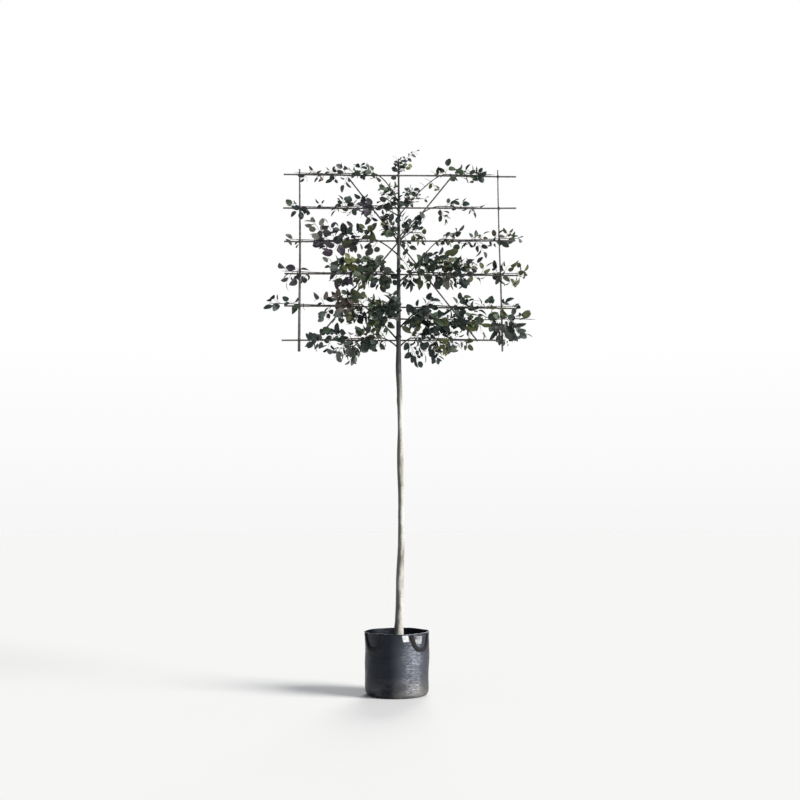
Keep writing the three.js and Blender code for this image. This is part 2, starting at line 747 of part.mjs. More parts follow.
function leaderShoots(random) {
  const shoots = [];
  let turn = 0;
  for (let k = 0; k < LEADER.twigs; k += 1) {
    turn += GOLDEN_TURN;
    const height = lerp(LEADER.foot, LEADER.tip, (k + 0.2 + SHOOT_JITTER * random()) / LEADER.twigs);
    const reach = Math.cos(turn) > 0 ? LEADER.right : -LEADER.left;
    const direction = UP.clone().multiplyScalar(LEADER.lift);
    direction.addScaledVector(RIGHT, Math.cos(turn)).addScaledVector(BACK, Math.sin(turn)).normalize();
    shoots.push({
      root: trunkPoint(height),
      direction,
      reach: reach * lerp(...SHOOT_REACH, random()),
      turn,
    });
  }
  return shoots;
}

function leaderHolds(point) {
  const inWidth = point.x > LEADER.left && point.x < LEADER.right;
  return inWidth && point.z > LEADER.low && point.z < LEADER.high && Math.abs(point.y) < CROWN_DEPTH;
}

function leaderTube(growth) {
  return trunkTube(LEADER.foot + GAP, LEADER.tip, LEADER_RINGS, growth);
}

// The plant, from the pot up

addNode('pot', potGeometry(), POT_BLACK);
addNode('soil', soilGeometry(), SOIL);
const handlePlaces = {
  front_left: -HANDLE_TURN,
  front_right: HANDLE_TURN,
  back_left: HANDLE_TURN - Math.PI,
  back_right: Math.PI - HANDLE_TURN,
};
for (const [name, middle] of Object.entries(handlePlaces)) {
  addNode(`handle_${name}`, handleGeometry(middle), WEBBING);
}
addNode('trunk', trunkGeometry(0), BARK);

for (let row = 0; row < ROW_HEIGHTS.length; row += 1) {
  addNode(`cane_row_${row + 1}`, rowGeometry(row, 0), CANE);
}
for (const post of POSTS) addNode(`cane_post_${post.name}`, postGeometry(post, 0), CANE);
for (const brace of BRACES) addNode(`cane_brace_${brace.name}`, braceGeometry(brace, 0), CANE);

const trunkSpace = solidFrom(trunkGeometry(GAP));
const rack = [
  ...ROW_HEIGHTS.map((_, row) => rowGeometry(row, CLEARANCE)),
  ...POSTS.map((post) => postGeometry(post, CLEARANCE)),
  ...BRACES.map((brace) => braceGeometry(brace, CLEARANCE)),
  trunkGeometry(CLEARANCE),
].map((geometry) => boxed(solidFrom(geometry)));
const limbSpaces = LIMBS.map((limb) => (
  boxed(solidFrom(limbTube(limb, rootDistance(limb), limb.end, BOUGH_RINGS + STEM_RINGS, CLEARANCE)))
));

LIMBS.forEach((limb, index) => {
  addNode(`bough_${limb.name}`, geometryFrom(boughSolid(limb, trunkSpace, 0)), YOUNG_BARK);
  const random = seededRandom(FIRST_SEED + SEED_STEP * index);
  const stem = solidFrom(limbTube(limb, limb.start + GAP, limb.end, STEM_RINGS, 0));
  const ownBough = boxed(solidFrom(
    limbTube(limb, rootDistance(limb), limb.start, BOUGH_RINGS, CLEARANCE),
  ));
  const otherLimbs = limbSpaces.filter((_, other) => other !== index);
  const leader = boxed(solidFrom(leaderTube(CLEARANCE)));
  const obstacles = [...rack, ...otherLimbs, ownBough, leader];
  const mass = growMass(
    stem,
    limbShoots(limb, random),
    limbHolds(limb, limb.start - SPACE_BEFORE),
    obstacles,
    random,
  );
  addNode(`foliage_${limb.name}`, geometryFrom(mass), LEAF_GREEN);
});

const leaderRandom = seededRandom(LEADER.seed);
addNode('foliage_leader', geometryFrom(growMass(
  solidFrom(leaderTube(0)),
  leaderShoots(leaderRandom),
  leaderHolds,
  [...rack, ...limbSpaces],
  leaderRandom,
)), LEAF_GREEN);

export default tree;
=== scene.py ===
# A potted espaliered crabapple: a tall clear stem whose crown is trained flat on a rack of canes,
# growing in a soft black nursery pot. Everything is in metres and +Z is up.
# The flat front of the crown faces -Y, and the origin is the middle of the pot's underside.

from math import asin, copysign, cos, exp, hypot, pi, radians, sin, sqrt

import bpy
import numpy as np
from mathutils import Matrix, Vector, noise


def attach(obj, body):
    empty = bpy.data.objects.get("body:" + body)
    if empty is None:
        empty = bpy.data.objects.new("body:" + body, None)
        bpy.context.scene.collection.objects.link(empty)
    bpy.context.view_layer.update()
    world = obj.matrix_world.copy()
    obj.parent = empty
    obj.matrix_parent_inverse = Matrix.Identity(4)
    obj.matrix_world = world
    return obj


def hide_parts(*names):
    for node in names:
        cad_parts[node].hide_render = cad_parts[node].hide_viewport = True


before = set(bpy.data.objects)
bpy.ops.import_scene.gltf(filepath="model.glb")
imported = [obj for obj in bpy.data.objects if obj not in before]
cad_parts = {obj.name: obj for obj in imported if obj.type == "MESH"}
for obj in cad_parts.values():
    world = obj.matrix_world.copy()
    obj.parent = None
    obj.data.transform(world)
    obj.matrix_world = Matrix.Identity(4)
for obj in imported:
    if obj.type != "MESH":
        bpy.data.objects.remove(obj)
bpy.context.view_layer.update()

TURN = 2 * pi
GAP = 0.0003  # between pieces that touch

# Pot
POT_RADIUS = 0.205
POT_HEIGHT = 0.399
POT_BASE_RADIUS = 0.178
POT_WAIST = 0.202
FOOT_HEIGHT = 0.039
WALL_RISE = 0.34  # over which the wall widens from its waist
RIM_BAND = 0.024
BAND_DEPTH = 0.0015
POT_WALL = 0.004
RIM_CREST = 0.0015
INNER_TAPER = 0.001
WALL_UNDER_SOIL = 0.02
HEM_RADIUS = 0.0028
HEM_TUCK = 0.001
HEM_SIDES = 8
POT_SIDES = 256
POT_RINGS = 210
BASE_RINGS = 9
BASE_START = 0.1  # the share of the underside's radius that its innermost ring has
INNER_RINGS = 16
FOOT_CROWDING = 0.15  # of the rings towards the pot's foot

# The soft wall: how far it bellies, sags and creases. A stretch is the noise's scale up the pot,
# and a shift takes the noise elsewhere.
BELLY_DEPTH = 0.004
BELLY_SCALE = 1.1
BELLY_STRETCH = 5
RIM_SAG = 0.004
RIM_SCALE = 1.6
RIM_SHIFT = 4
SAG_START = 0.2
# Level folds and fine creases: depth, scale round the pot, stretch, and share of the warp
CREASES = [(0.0016, 2.0, 42, 1), (0.0014, 5.5, 118, 2)]
WARP = 1.8
WARP_SCALE = 2
WARP_STRETCH = 3
WARP_SHIFT = 5
FOOT_EASE = 0.03
CREASES_START = (0.015, 0.06)  # heights between which they set in
CREASES_END = (POT_HEIGHT - 0.05, POT_HEIGHT - 0.02)
# The slack side is also where the pot's material paints its sheen, where the key light's highlight
# falls.
SLACK_AND_SHEEN_SIDE = (0.5, -0.866)  # the direction in which the wall hangs most slack
SLACK_TURN = (0.3, 0.95)  # how far towards that side the wall goes from taut to slack
TAUT_SHARE = 0.35  # of the creases, on the other side
SLACK_SPREAD = (-0.5, 0.4)  # of the noise, from smooth patches to creased ones
SLACK_SCALE = 1.4
SLACK_STRETCH = 3
SLACK_SHIFTS = (4, 9)

# Soil
SOIL_TOP = 0.341
SOIL_RADIUS = 0.199
SOIL_TUCK = 0.001  # of the soil into the wall
SOIL_SINK = 0.003
SOIL_SLOPE = 0.004
SOIL_SIDES = 128
SOIL_RINGS = 44
SOIL_SIDE = (0.06, 0.03)  # how far under its top the rings of its side lie
LUMP_HEIGHT = 0.006
LUMP_SCALE = 26
LUMP_DETAIL = 4
GRAIN_HEIGHT = 0.003
GRAIN_SCALE = 90
GRAIN_SHIFT = 3
CRUMBS = 420
CRUMB_SEED = 4242
CRUMB_SIZE = (0.0016, 0.0055)
CRUMB_REACH = SOIL_RADIUS * 0.95
CRUMB_SPREAD = (0.04, 1)  # of the crumbs over the soil's area, from its middle out
CRUMB_LIFT = 0.001
CRUMB_FACES = [(0, 1, 2), (0, 2, 3), (0, 3, 1), (1, 3, 2)]

# Blank patches: their edges as seen from the front, and how far the foot is set aside
LIGHT_PATCH = dict(left=0.031, right=0.069, foot=0.352, top=0.392, skew=0.008)
GREY_PATCH = dict(left=0.117, right=0.158, foot=0.335, top=0.383, skew=-0.004)
PATCH_LIFT = 0.0016
PATCH_POINTS = 7

# Handles
HANDLE_SPAN = 0.78
HANDLE_MIDDLES = (-0.85, 0.85, 0.85 - pi, pi - 0.85)
HANDLE_TOP = 0.008
HANDLE_DROP = 0.092
HANDLE_WIDTH = 0.024
HANDLE_THICKNESS = 0.003
HANDLE_FULLNESS = 2.6
HANDLE_SPREAD = 0.8
HANDLE_LIFT = 0.004  # of a strap off the wall, over its creases
HANDLE_EDGE = 0.002  # of the pot's wall that it leaves free under the rim
HANDLE_RINGS = 72
# The inner half of a strap's section, in half widths and half thicknesses
HALF_SECTION = [(-1, -1), (-0.4, -1.25), (0.4, -1.25), (1, -1)]

# Cane rack
CANE_RADIUS = 0.0053
ROW_HEIGHTS = [3.322, 3.110, 2.896, 2.680, 2.469, 2.255]
ROW_TILTS = [-0.009, 0, 0.003, -0.01, -0.012, 0]
ROW_LEFT_ENDS = [-0.730, -0.733, -0.726, -0.723, -0.723, -0.739]
ROW_RIGHT_ENDS = [0.768, 0.768, 0.762, 0.781, 0.774, 0.691]
ROW_WAVE = 0.0012
ROW_WAVES = 7  # radians of the wave to a metre
POST_FOOT = 2.185
POST_RUN = 1.2  # about the height of a post, to place its ties
POST_WAVE = 0.002
POST_WAVES = 5  # radians of the wave to a metre
POSTS = [
    dict(foot=-0.627, head=-0.627, top=3.368, foot_radius=0.009, head_radius=0.005),
    dict(foot=0.011, head=0.011, top=3.432, foot_radius=0.0065, head_radius=0.0045),
    dict(foot=0.676, head=0.650, top=3.361, foot_radius=0.006, head_radius=0.004),
]
BRACES = [
    dict(top=(-0.314, 3.311), foot=(0.518, 2.250), layer=1),
    dict(top=(0.358, 3.324), foot=(-0.538, 2.236), layer=2),
]
BRACE_RADIUS = 0.005
POST_FRONT = 2 * CANE_RADIUS + GAP
CANE_SIDES = 12

# Joints of the canes. Swelling is in shares of the cane's radius, the groove's depth in shares of
# the swelling, and a first joint is how far it is moved along its cane.
JOINT_SPACING = 0.17
JOINT_SWELL = 0.16
JOINT_WIDTH = 0.0035
GROOVE_DEPTH = 0.5
GROOVE_PLACE = 0.007
GROOVE_WIDTH = 0.003
ROW_JOINT_STEP = 0.05
POST_JOINT_STEP = 0.06
BRACE_FIRST_JOINT = 0.04

# Ties: half their width, half their depth, the tape's radius, its turns and their pitch. The ties
# of the trunk stand off its side and off the post's back instead.
CROSS_TIE = dict(width=0.0085, depth=0.0145, tape=0.0011, turns=2, pitch=0.0022)
LIMB_TIE = dict(depth=0.0105, tape=0.0009, turns=2, pitch=0.002)
LIMB_TIE_START = 0.03
LIMB_TIE_SPACING = 0.17
TRUNK_TIE = dict(side=0.0025, back=0.002, tape=0.0016, turns=3, pitch=0.003)
TRUNK_TIE_LIFT = 0.022
BRACE_TIE = dict(width=0.019, depth=0.024, tape=0.002, turns=2, pitch=0.0042)
BRACE_TIE_ROW = 2
BRACE_TIE_BACK = 0.006
BRACE_TIE_SLANTS = (-1.1, -0.45, 0.45, 1.1)
TIE_SLACK = 0.001
TIE_POINTS = 20  # to a turn
TIE_SIDES = 5

# Trunk: height, sideways place and radius, from the soil to the tip
TRUNK_TIP = 3.300
TRUNK_STATIONS = [
    (0.340, 0.0070, 0.0340),
    (0.470, 0.0147, 0.0260),
    (0.760, 0.0198, 0.0245),
    (0.950, 0.0266, 0.0215),
    (1.240, 0.0270, 0.0195),
    (1.500, 0.0205, 0.0210),
    (1.700, 0.0240, 0.0195),
    (1.940, 0.0160, 0.0180),
    (2.070, 0.0100, 0.0180),
    (2.200, 0.0098, 0.0155),
    (2.480, 0.0100, 0.0135),
    (2.900, 0.0109, 0.0100),
    (3.110, 0.0110, 0.0080),
    (3.330, 0.0110, 0.0050),
    (3.450, 0.0120, 0.0030),
]
CROWN_FOOT = 2.150
CROWN_LEAN = 0.350
TRUNK_SIDES = 40
TRUNK_RINGS = 640
FLARE_HEIGHT = 0.035
# Ridges of the flare: how many stand round the trunk, their share of its radius, and their turn
FLARE_RIDGES = [(3, 0.10, 0.6), (5, 0.05, 0)]
# Relief of the bark: depth, as a share of the radius, shift, stretch up the trunk, scale, detail
BARK_RELIEF = [(0.055, 0, 4, 1.3, 3), (0.032, 9, 60, 1.6, 2)]
# Knots: height, direction round the trunk in radians from the right, and size
TRUNK_KNOTS = [
    (1.128, 2.2, 0.020),
    (1.330, -0.6, 0.012),
    (1.711, 0.3, 0.022),
    (1.864, 2.6, 0.026),
    (0.905, -1.9, 0.014),
    (0.560, -1.2, 0.016),
    (2.050, -1.0, 0.014),
]
KNOT_SWELL = 0.20
KNOT_NARROWNESS = 1.6
KNOT_REACH = 3  # in sizes, up and down

# Limbs
LIMB_LIFT = 0.009
LIMB_TIP_RADIUS = 0.0022
LIMB_TAPER = 0.8
LIMB_EASE = 0.6  # share of the way to its turn after which its wave sets in
LIMB_WAVE = 0.004
LIMB_WAVE_LENGTH = 0.095  # for a radian of the wave
BOUGH_BEND = 1.6
LIMB_SIDES = 10
LIMB_RELIEF = 0.10
LIMB_RELIEF_SCALE = 28
LIMB_RELIEF_TURN = (0.01, 0.35)  # its change from one side of the limb to the next
COLLAR_SWELL = 0.5
COLLAR_LENGTH = 0.012
SCAR_SWELL = 0.10
SCAR_SPACING = 0.031
SCAR_SHARPNESS = 6
RING_SPACING = 0.006  # of limbs and canes
STEP = 0.005  # along a limb, to find its direction

# The limbs, the left ones first. A limb leaves the trunk at the height leave, comes up to its
# level, or to the one over its row of canes, at the distance turn from the middle line, and ends
# at the distance end. It is bare as far as start. Each stretch of its foliage is: the distance to
# which it runs, its reach up and down from the level, and its number of shoots. A stretch with no
# shoot of its own is filled by its neighbours. Inner is the numbers of shoots that turn back to
# the trunk, above and below the limb. Front is how far it comes forward on its way to its row, or
# all along its own level. Leaf_size scales all its leaves, and tip_size those of its last shoot.
LIMBS = [
    dict(name="left_1", side=-1, row=0, leave=3.138, turn=0.166, bend=2, radius=0.004,
         start=0.112, end=0.64, leaf_size=0.8,
         stretches=[(0.262, 0.07, 0.025, 7), (0.397, 0.06, 0.1, 5), (0.545, 0.032, 0.055, 4),
                    (0.668, 0.07, 0.06, 1)]),
    dict(name="left_2", side=-1, row=1, leave=3.055, turn=0.135, radius=0.004,
         start=0.122, end=0.69, leaf_size=0.9,
         stretches=[(0.25, 0.065, 0.11, 7), (0.39, 0.075, 0.04, 5), (0.537, 0.045, 0.056, 1),
                    (0.716, 0.05, 0.08, 3)]),
    dict(name="left_3", side=-1, row=2, leave=2.799, turn=0.16, radius=0.0045,
         start=0.109, end=0.65, leaf_size=1.2,
         stretches=[(0.262, 0.092, 0.095, 5), (0.493, 0.15, 0.095, 8), (0.537, 0.148, 0.04, 0),
                    (0.712, 0.126, 0.035, 1)]),
    dict(name="left_4", side=-1, row=3, leave=2.655, turn=0.1, radius=0.0055,
         inner=(0, 6), start=0.058, end=0.72,
         stretches=[(0.262, 0.11, 0.1, 16), (0.403, 0.11, 0.1, 7), (0.537, 0.09, 0.055, 0),
                    (0.742, 0.018, 0.108, 5)]),
    dict(name="left_5", side=-1, row=4, leave=2.248, turn=0.23, bend=1.2, radius=0.0055,
         start=0.2, end=0.79, tip_size=1.25,
         stretches=[(0.333, 0.1, 0.128, 15), (0.493, 0.095, 0.112, 3), (0.57, 0.08, 0.07, 0),
                    (0.717, 0.02, 0.038, 2), (0.84, 0.085, 0.03, 2)]),
    dict(name="left_low", side=-1, level=2.392, leave=2.39, turn=0.07, radius=0.004,
         inner=(9, 0), start=0.038, end=0.17, front=0.02,
         stretches=[(0.192, 0.175, 0.055, 21)]),
    dict(name="left_6", side=-1, row=5, leave=2.203, turn=0.09, radius=0.005,
         start=0.058, end=0.54,
         stretches=[(0.198, 0.07, 0.078, 11), (0.403, 0.072, 0.19, 10), (0.506, 0.084, 0.08, 3),
                    (0.576, 0.02, 0.062, 1)]),
    dict(name="left_upper_spur", side=-1, level=3.16, leave=3.085, turn=0.06, radius=0.0032,
         inner=(3, 2), start=0.018, end=0.09, leaf_size=0.85,
         stretches=[(0.118, 0.098, 0.06, 5)]),
    dict(name="left_middle_spur", side=-1, level=2.985, leave=2.925, turn=0.06, radius=0.0032,
         inner=(0, 3), start=0.02, end=0.085,
         stretches=[(0.106, 0.108, 0.058, 10)]),
    dict(name="right_1", side=1, row=0, leave=3.055, turn=0.314, bend=1.5, radius=0.004,
         start=0.21, end=0.605, leaf_size=0.85,
         stretches=[(0.295, 0.04, 0.085, 4), (0.422, 0.085, 0.028, 5), (0.518, 0.065, 0.042, 7),
                    (0.63, 0.035, 0.075, 0)]),
    dict(name="right_2", side=1, row=1, leave=2.914, turn=0.282, bend=1.9, radius=0.004,
         start=0.25, end=0.52, leaf_size=0.85,
         stretches=[(0.333, 0.065, 0.1, 2), (0.429, 0.028, 0.045, 3), (0.55, 0.06, 0.06, 1)]),
    dict(name="right_3", side=1, row=2, leave=2.588, turn=0.282, bend=1.2, radius=0.0042,
         start=0.258, end=0.765, front=0.018, leaf_size=0.9,
         stretches=[(0.333, 0.05, 0.035, 4), (0.455, 0.08, 0.06, 3), (0.582, 0.055, 0.12, 4),
                    (0.704, 0.06, 0.035, 4), (0.802, 0.05, 0.032, 1)]),
    dict(name="right_4", side=1, row=3, leave=2.626, turn=0.109, radius=0.0055,
         inner=(2, 2), start=0.077, end=0.79, tip_size=1.15,
         stretches=[(0.237, 0.148, 0.1, 8), (0.333, 0.148, 0.095, 10), (0.455, 0.12, 0.095, 6),
                    (0.582, 0.085, 0.042, 2), (0.736, 0.098, 0.085, 4), (0.842, 0.062, 0.08, 2)]),
    dict(name="right_5", side=1, row=4, leave=2.325, turn=0.211, radius=0.005,
         start=0.152, end=0.75,
         stretches=[(0.23, 0.085, 0.028, 5), (0.333, 0.038, 0.018, 0), (0.474, 0.088, 0.02, 8),
                    (0.653, 0.06, 0.02, 4), (0.782, 0.05, 0.058, 2)]),
    dict(name="right_low", side=1, level=2.384, leave=2.392, turn=0.09, radius=0.005,
         inner=(2, 0), start=0.058, end=0.86, front=0.02, tip_size=1.15, leaf_size=1.1,
         stretches=[(0.112, 0.178, 0.052, 7), (0.282, 0.055, 0.052, 14), (0.5, 0.055, 0.052, 11),
                    (0.582, 0.05, 0.118, 2), (0.749, 0.022, 0.182, 12), (0.902, 0.024, 0.112, 1)]),
    dict(name="right_6", side=1, row=5, leave=2.203, turn=0.09, radius=0.005,
         start=0.058, end=0.47,
         stretches=[(0.32, 0.07, 0.19, 16), (0.498, 0.07, 0.076, 5)]),
    dict(name="right_upper_spur", side=1, level=3.16, leave=3.105, turn=0.07, radius=0.0032,
         inner=(0, 3), start=0.04, end=0.165, front=0.018, leaf_size=0.65,
         stretches=[(0.095, 0.098, 0.045, 7), (0.196, 0.06, 0.046, 1)]),
    dict(name="right_middle_spur", side=1, level=2.945, leave=2.885, turn=0.09, radius=0.0032,
         inner=(4, 0), start=0.042, end=0.15, leaf_size=0.85,
         stretches=[(0.182, 0.15, 0.085, 7)]),
]
FIRST_SEED = 1000
SEED_STEP = 37

# Bare spurs that stand between the highest right limb and the brace: the distance along the limb
# at which each starts, and its run sideways and up to its tip
BARE_SPURS = [
    (0.262, -0.044, 0.040),
    (0.300, -0.036, 0.034),
    (0.218, -0.042, 0.020),
    (0.180, -0.036, 0.026),
]
BARE_SPUR_FRONT = 0.004
BARE_SPUR_BOW = (0, -0.002, 0.003)
BARE_SPUR_RADII = (0.0016, 0.0013, 0.0009)

# Leader: the trunk's tip and the foliage that it carries
LEADER_TIP = 3.410
LEADER_OVERLAP = 0.004
LEADER_RINGS = 14
LEADER_SEED = 77
LEADER_TWIGS = 5
LEADER_REACH = (0.85, 1.1)
LEADER_SPACE = dict(low=3.268, high=3.458, left=-0.060, right=0.168)
LEADER_LIFT = 0.45  # of its shoots, as a slope
LEADER_LEAF_SIZE = 0.62  # as a limb's leaf_size

# Shoots
GOLDEN_TURN = 2.4  # radians from one shoot or leaf to the next
SHOOT_LEAN = (0.35, 0.8)
SHOOT_REACH = (0.85, 1.15)
SHOOT_JITTER = (-0.25, 0.25)
SHOOT_SHORTEST = 0.022
SHOOT_BOW = (-0.1, 0.1)  # sideways, of its length
SHOOT_RISE = (-0.05, 0.14)
SHOOT_POINTS = 5
SHOOT_SIDES = 5
LEAST_LEAVES = 3
CROWN_FLATNESS = 0.6
CROWN_DEPTH = 0.15
LEAST_DEPTH = 0.06
DEPTH_SHARE = 0.8
SPACE_BEFORE = 0.04
SPACE_EDGE = 0.012
SHOOT_RADII = (0.0016, 0.0008)
SPUR_SHARE = 0.16  # of a shoot's nodes that bear a side spur as well as their leaf
SPUR_LENGTH = (0.014, 0.034)
SPUR_TAPER = 0.8
SPUR_SIDES = 4
SPUR_LEAVES = 2

# Inner shoots, which turn back towards the trunk
INNER_LEAN = (-1.0, -0.2)
INNER_FRONT = 0.6  # their mean turn to the front, in radians
INNER_SPREAD = (-0.7, 0.7)
INNER_RUN = 0.05
INNER_SPACE = 0.08
TRUNK_CLEARANCE = 0.008

# Leaves
LEAF_LENGTH = (0.036, 0.067)
LEAF_WIDTH = (0.50, 0.80)  # of its length
LEAF_SPACING = 0.0155
PETIOLE = (0.008, 0.018)
PETIOLE_RADIUS = 0.0006
PETIOLE_SIDES = 3
LEAF_FOLD = (0.08, 0.35)  # rise of the edges over the midrib, of the half width
LEAF_CURL = (0.04, 0.60)  # drop of the tip, of the length
LEAF_CURL_SHRINK = 0.3  # of the length of a leaf, by its curl
LEAF_TILT = (0.2, 4.4)  # of the face away from the front, as a slope
LEAF_UPTURN = 0.4
LEAF_JITTER = (-0.5, 0.5)
LEAF_DROOP = (-0.25, 0.05)
SIDE_LEAF_PLACE = 0.8  # of its share of the shoot
SIDE_LEAF_FORWARD = (0.5, 0.8)
SIDE_LEAF_ACROSS = 0.9
END_LEAF_PLACE = 0.98  # of the shoot
END_LEAF = (1, 0.2)  # forward and across
SPUR_LEAF_FORWARD = 0.6
LEAF_FLATTENINGS = (1, 0.45, 0.1)  # of a leaf's rise, tried in turn until it fits
LEAF_ROWS = (0, 0.05, 0.16, 0.32, 0.50, 0.68, 0.83, 0.94, 1)
LEAF_HALF_WIDTHS = (0, 0.36, 0.74, 0.96, 1, 0.89, 0.66, 0.33, 0)

# Places in the crown whose leaves have a colour of their own, and places marked below whose lighter
# tint is painted light for sunlit leaves: the lowest and highest X and Z of each place, its tint,
# and the share of its sprays that have it
TINTED_PLACES = [
    (-0.780, -0.540, 2.540, 2.730, "purple", 0.8),
    (-0.560, -0.200, 3.040, 3.200, "purple", 0.4),
    (-0.500, -0.255, 2.830, 3.060, "purple", 0.6),
    (-0.610, -0.500, 2.865, 2.925, "purple", 0.7),
    (-0.545, -0.490, 2.930, 3.050, "pale", 0.7),
    # Painted light: a lighter tint for sunlit leaves.
    (-0.370, -0.250, 2.700, 2.800, "yellow_green", 0.35),
    (-0.170, -0.120, 2.690, 2.750, "yellow_green", 0.8),
    (-0.500, -0.330, 2.400, 2.540, "bronze", 0.55),
    (-0.540, -0.420, 3.290, 3.355, "bronze", 0.8),
    (-0.340, -0.280, 3.215, 3.320, "bronze", 0.5),
    (-0.900, -0.700, 2.350, 2.620, "dark_green", 1),
    # Painted light, in the next three places: a lighter olive for sunlit leaves.
    (0.270, 0.470, 2.670, 2.830, "olive", 0.75),
    (0.700, 0.860, 2.620, 2.780, "olive", 0.7),
    (0.560, 0.680, 2.440, 2.560, "olive", 0.6),
    (0.655, 0.780, 2.400, 2.520, "dark_green", 0.9),
    # Painted light: a lighter tint for sunlit leaves.
    (0.440, 0.580, 2.240, 2.380, "yellow_green", 0.5),
    (0.580, 0.900, 2.190, 2.380, "grey_green", 0.8),
    (-0.410, -0.235, 2.055, 2.230, "grey_green", 0.6),
    (0.030, 0.310, 2.055, 2.230, "dark_green", 0.8),
    (0.300, 0.620, 3.250, 3.420, "green", 0.7),
    (0.050, 0.180, 2.860, 3.130, "yellow_green", 0.35),
]
# The tints of all other sprays, with their shares of them
TINT_SHARES = [
    ("dark_green", 0.44),
    ("green", 0.27),
    ("olive", 0.10),
    ("grey_green", 0.07),
    ("purple", 0.05),
    ("yellow_green", 0.03),
    ("bronze", 0.02),
    ("pale", 0.02),
]

# Leaf tints: base colour, and roughness of the blade
LEAF_SPECULAR = 0.35
LEAF_TINTS = {
    "dark_green": ((0.028, 0.043, 0.037), 0.56),
    "green": ((0.054, 0.080, 0.047), 0.58),
    "olive": ((0.093, 0.108, 0.050), 0.60),
    "grey_green": ((0.092, 0.103, 0.089), 0.64),
    "purple": ((0.058, 0.048, 0.066), 0.54),
    "yellow_green": ((0.128, 0.146, 0.046), 0.60),
    "bronze": ((0.088, 0.070, 0.057), 0.58),
    "pale": ((0.190, 0.190, 0.165), 0.70),
}
PLASTIC_COLOUR = (0.005, 0.007, 0.012)

# Floor
FLOOR_RADIUS = 60
FLOOR_SIDES = 128

X_AXIS = np.array((1.0, 0.0, 0.0))
Y_AXIS = np.array((0.0, 1.0, 0.0))
Z_AXIS = np.array((0.0, 0.0, 1.0))


# Numbers

RANDOM_FACTOR = 16807
RANDOM_MODULUS = 2 ** 31 - 1
RELIEF_DAMPING = 0.9
RELIEF_FINENESS = 2.1


def lerp(low, high, t):
    """The value at a share t of the way from low to high."""
    return low + (high - low) * t


def clamp(value, low, high):
    """The value, kept between low and high."""
    return max(low, min(high, value))


def smoothstep(value, low, high):
    """How far the value is from low to high, with a soft start and end."""
    t = clamp((value - low) / (high - low), 0, 1)
    return t * t * (3 - 2 * t)


def unit(vector):
    """A vector's direction, with a length of one."""
    return vector / np.linalg.norm(vector)


def seeded_random(seed):
    """A function that gives numbers between low and high, the same in every run."""
    state = seed

    def draw(low=0.0, high=1.0):
        nonlocal state
        state = state * RANDOM_FACTOR % RANDOM_MODULUS
        return lerp(low, high, state / RANDOM_MODULUS)

    return draw


def through_stations(stations, column, height):
    """A smooth curve through stations of one value each, by the Catmull-Rom rule."""
    last = len(stations) - 1
    i = 0
    while i < last - 1 and stations[i + 1][0] < height:
        i += 1
    low, high = stations[i], stations[i + 1]
    before, after = stations[max(0, i - 1)], stations[min(last, i + 2)]
    u = clamp((height - low[0]) / (high[0] - low[0]), 0, 1)
    low_slope = (high[column] - before[column]) / 2
    high_slope = (after[column] - low[column]) / 2
    rise = high[column] - low[column]
    cubic = low_slope + high_slope - 2 * rise
    square = 3 * rise - 2 * low_slope - high_slope
    return ((cubic * u + square) * u + low_slope) * u + low[column]


# Meshes

def add_object(name, data):
    """Puts a mesh, a light or a camera into the scene."""
    thing = bpy.data.objects.new(name, data)
    bpy.context.scene.collection.objects.link(thing)
    return thing


def make_piece(name, shapes, material, replaced=(), smooth=True):
    """Joins shapes to one object, which rides on the plant and stands for the replaced nodes."""
    vertices, faces = [], []
    for shape_vertices, shape_faces in shapes:
        offset = len(vertices)
        vertices.extend(tuple(map(float, vertex)) for vertex in shape_vertices)
        faces.extend(tuple(offset + index for index in face) for face in shape_faces)
    mesh = bpy.data.meshes.new(name)
    mesh.from_pydata(vertices, [], faces)
    mesh.materials.append(material)
    if smooth:
        mesh.shade_smooth()
    piece = add_object(name, mesh)
    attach(piece, "root")
    if replaced:
        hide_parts(*replaced)


def square_axis(direction):
    """The axis that is most nearly square to a direction."""
    return min((X_AXIS, Y_AXIS, Z_AXIS), key=lambda axis: abs(float(axis @ direction)))


def tube(points, radii, sides, reference=None, relief=1):
    """A closed round tube along points. Relief scales its radius at each ring and side."""
    points = np.asarray(points, float)
    along = np.gradient(points, axis=0)
    along /= np.linalg.norm(along, axis=1, keepdims=True)
    if reference is None:
        reference = square_axis(along[0])
    out = reference - (along @ reference)[:, None] * along
    out /= np.linalg.norm(out, axis=1, keepdims=True)
    across = np.cross(along, out)
    angles = angles_round(sides)
    ring = out[:, None] * np.cos(angles)[:, None] + across[:, None] * np.sin(angles)[:, None]
    reach = np.asarray(radii, float)[:, None] * relief * np.ones(sides)
    return grid_shape(points[:, None] + ring * reach[:, :, None], wrap=True, caps=True)


def angles_round(sides):
    """Equal steps round a whole turn, from 0."""
    return TURN * np.arange(sides) / sides


def point_grid(rows, columns, point_at):
    """A point, or a number, for each pair of a row and a column."""
    return np.array([[point_at(row, column) for column in columns] for row in rows])


def round_point(radius, angle, height):
    """A point at a distance from the upright middle line of the pot."""
    return np.array((radius * cos(angle), radius * sin(angle), height))


def grid_shape(grid, wrap, caps=False):
    """Faces over a grid of points. Wrap joins its last column to the first, caps close its ends."""
    rows, columns = grid.shape[:2]
    faces = []
    for i in range(rows - 1):
        for k in range(columns if wrap else columns - 1):
            after = (k + 1) % columns
            low, high = i * columns, (i + 1) * columns
            faces.append((low + k, low + after, high + after, high + k))
    if caps:
        faces.append(tuple(reversed(range(columns))))
        faces.append(tuple(range((rows - 1) * columns, rows * columns)))
    return grid.reshape(-1, 3), faces


